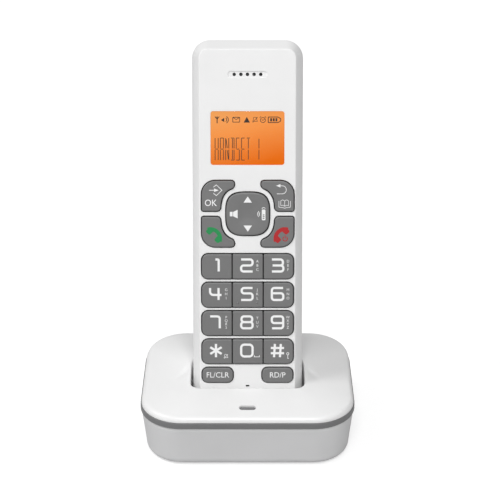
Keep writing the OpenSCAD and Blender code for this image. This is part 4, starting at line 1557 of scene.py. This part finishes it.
def turned(bm, profile, place, material=0, steps=40):
    """Spins a profile of (radius, height) points into a closed turned part."""
    lathe = bmesh.new()
    verts = [lathe.verts.new((r, 0, z)) for r, z in profile]
    edges = [lathe.edges.new(pair) for pair in zip(verts, verts[1:])]
    bmesh.ops.spin(lathe, geom=verts + edges, cent=(0, 0, 0), axis=(0, 0, 1), angle=math.radians(360),
                   steps=steps, use_merge=True)
    bmesh.ops.remove_doubles(lathe, verts=lathe.verts, dist=0.0005)
    mesh = to_mesh(lathe, "turned")
    add(bm, mesh, material, place)


def cells():
    bm = bmesh.new()
    body = [(0, 0), (3.9, 0), (4.1, 0.25), (4.6, 0.25), (5.0, 0.1), (5.2, 0.35), (CELL_R, 0.8), (CELL_R, 30)]
    band = [(CELL_R, 30), (CELL_R, 42.6), (5.1, 43.2), (4.7, 43.5), (4.3, 43.4)]
    nub = [(4.3, 43.4), (3.4, 43.3), (2.0, 43.5), (1.9, 44.3), (1.6, CELL_L), (0, CELL_L)]
    for s in (-1, 1):
        flip = Matrix.Rotation(math.radians(180), 4, "X") if s > 0 else Matrix.Identity(4)
        foot = CELL_LOW + (CELL_L if s > 0 else 0)
        place = Matrix.Translation((s * CELL_X, CELL_DEPTH, foot)) @ flip
        for profile, material in ((body, 0), (band, 1), (nub, 2)):
            turned(bm, profile, place, material)
    return make("battery_cells", bm, HANDSET, "handset", [SLEEVE, SLEEVE_DARK, STEEL], ["battery_cells"])




battery = cells()
print("cell faces:", len(battery.data.polygons))

# %% Springs
def spring(bm, x):
    """A helix drawn as a path of points, which a round section then follows."""
    curve = bpy.data.curves.new("spring", "CURVE")
    curve.dimensions = "3D"
    curve.bevel_depth = 0.3
    curve.bevel_resolution = 2
    curve.use_fill_caps = True
    path = curve.splines.new("POLY")
    turns, steps = 4, 18
    count = turns * steps + 1
    path.points.add(count - 1)
    height = CELL_LOW - BAY_LOW - 1.3
    for n in range(count):
        t = n / (count - 1)
        a = 2 * math.pi * n / steps
        r = 3.1 - 1.1 * t
        path.points[n].co = (x + r * math.cos(a), CELL_DEPTH + r * math.sin(a), BAY_LOW + 0.8 + height * t, 1)
    wound = place_object("spring", curve)
    bpy.context.view_layer.update()
    mesh = bpy.data.meshes.new_from_object(wound.evaluated_get(bpy.context.evaluated_depsgraph_get()))
    bpy.data.objects.remove(wound)
    bpy.data.curves.remove(curve)
    add(bm, mesh, 0)


def springs():
    bm = bmesh.new()
    for s in (-1, 1):
        x = s * CELL_X
        block(bm, (x - 4, CELL_DEPTH - 4, BAY_LOW + 0.1), (x + 4, CELL_DEPTH + 4, BAY_LOW + 0.5))
        spring(bm, x)
    return make("battery_springs", bm, HANDSET, "handset", [STEEL], ["battery_springs"])


coils = springs()
print("spring faces:", len(coils.data.polygons))

# %% [markdown]
# ## Finishes for the pieces that keep their CAD shape
# Circuit boards, screws, speakers, contacts and the pad's pivot already have the right shape, so each only
# gets a finish of its own. The board's finish draws copper tracks under green lacquer with a brick pattern.


# %% Circuit board
def board_green():
    mat, tree, shader = new_material("board_green")
    coords = object_coords(tree)
    scale = tree.nodes.new("ShaderNodeMapping")
    scale.inputs["Rotation"].default_value = (0.3, 0.2, 0.78)
    tree.links.new(coords, scale.inputs["Vector"])
    tracks = tree.nodes.new("ShaderNodeTexBrick")
    tracks.inputs["Scale"].default_value = 240.0
    tracks.inputs["Mortar Size"].default_value = 0.06
    tracks.inputs["Color1"].default_value = (0.01, 0.10, 0.035, 1)
    tracks.inputs["Color2"].default_value = (0.012, 0.13, 0.045, 1)
    tracks.inputs["Mortar"].default_value = (0.05, 0.22, 0.07, 1)
    tree.links.new(scale.outputs["Vector"], tracks.inputs["Vector"])
    tree.links.new(tracks.outputs["Color"], shader.inputs["Base Color"])
    gloss = tree.nodes.new("ShaderNodeMapRange")
    gloss.inputs["To Min"].default_value = 0.3
    gloss.inputs["To Max"].default_value = 0.45
    tree.links.new(tracks.outputs["Fac"], gloss.inputs["Value"])
    tree.links.new(gloss.outputs["Result"], shader.inputs["Roughness"])
    return mat


# %% Finishes by node
# The keypad mat is near black, darker than the grey keys: painted shade for the gaps round the keys
MAT_SILICONE_PAINTED_SHADE = plastic("mat_silicone", (0.06, 0.06, 0.062), 0.6, grain=0.1, edge=0.02)
SPEAKER = plastic("speaker_black", (0.03, 0.03, 0.032), 0.5, grain=0.3, edge=0.05, grain_scale=1200.0)
LED_CLEAR = plastic("led_clear", (0.55, 0.75, 0.58), 0.2, grain=0.0, edge=0.0)
DIFFUSER = plastic("diffuser_white", (0.78, 0.78, 0.76), 0.4, grain=0.0, edge=0.0)
FINISHES = {
    "base_screws": STEEL, "base_circuit_board": board_green(), "base_charge_pins": GOLD,
    "indicator_led": LED_CLEAR, "handset_screws": STEEL, "backlight_panel": DIFFUSER,
    "handset_antenna": GOLD, "earpiece_speaker": SPEAKER, "microphone": SPEAKER, "ringer_speaker": SPEAKER,
    "keypad_mat": MAT_SILICONE_PAINTED_SHADE, "battery_plates": STEEL, "handset_charge_pads": GOLD, "nav_pivot": SPEAKER,
}
FINISHES["handset_circuit_board"] = FINISHES["base_circuit_board"]
for name, finish in FINISHES.items():
    nodes[name].data.materials.clear()
    nodes[name].data.materials.append(finish)
print("finishes given:", len(FINISHES))
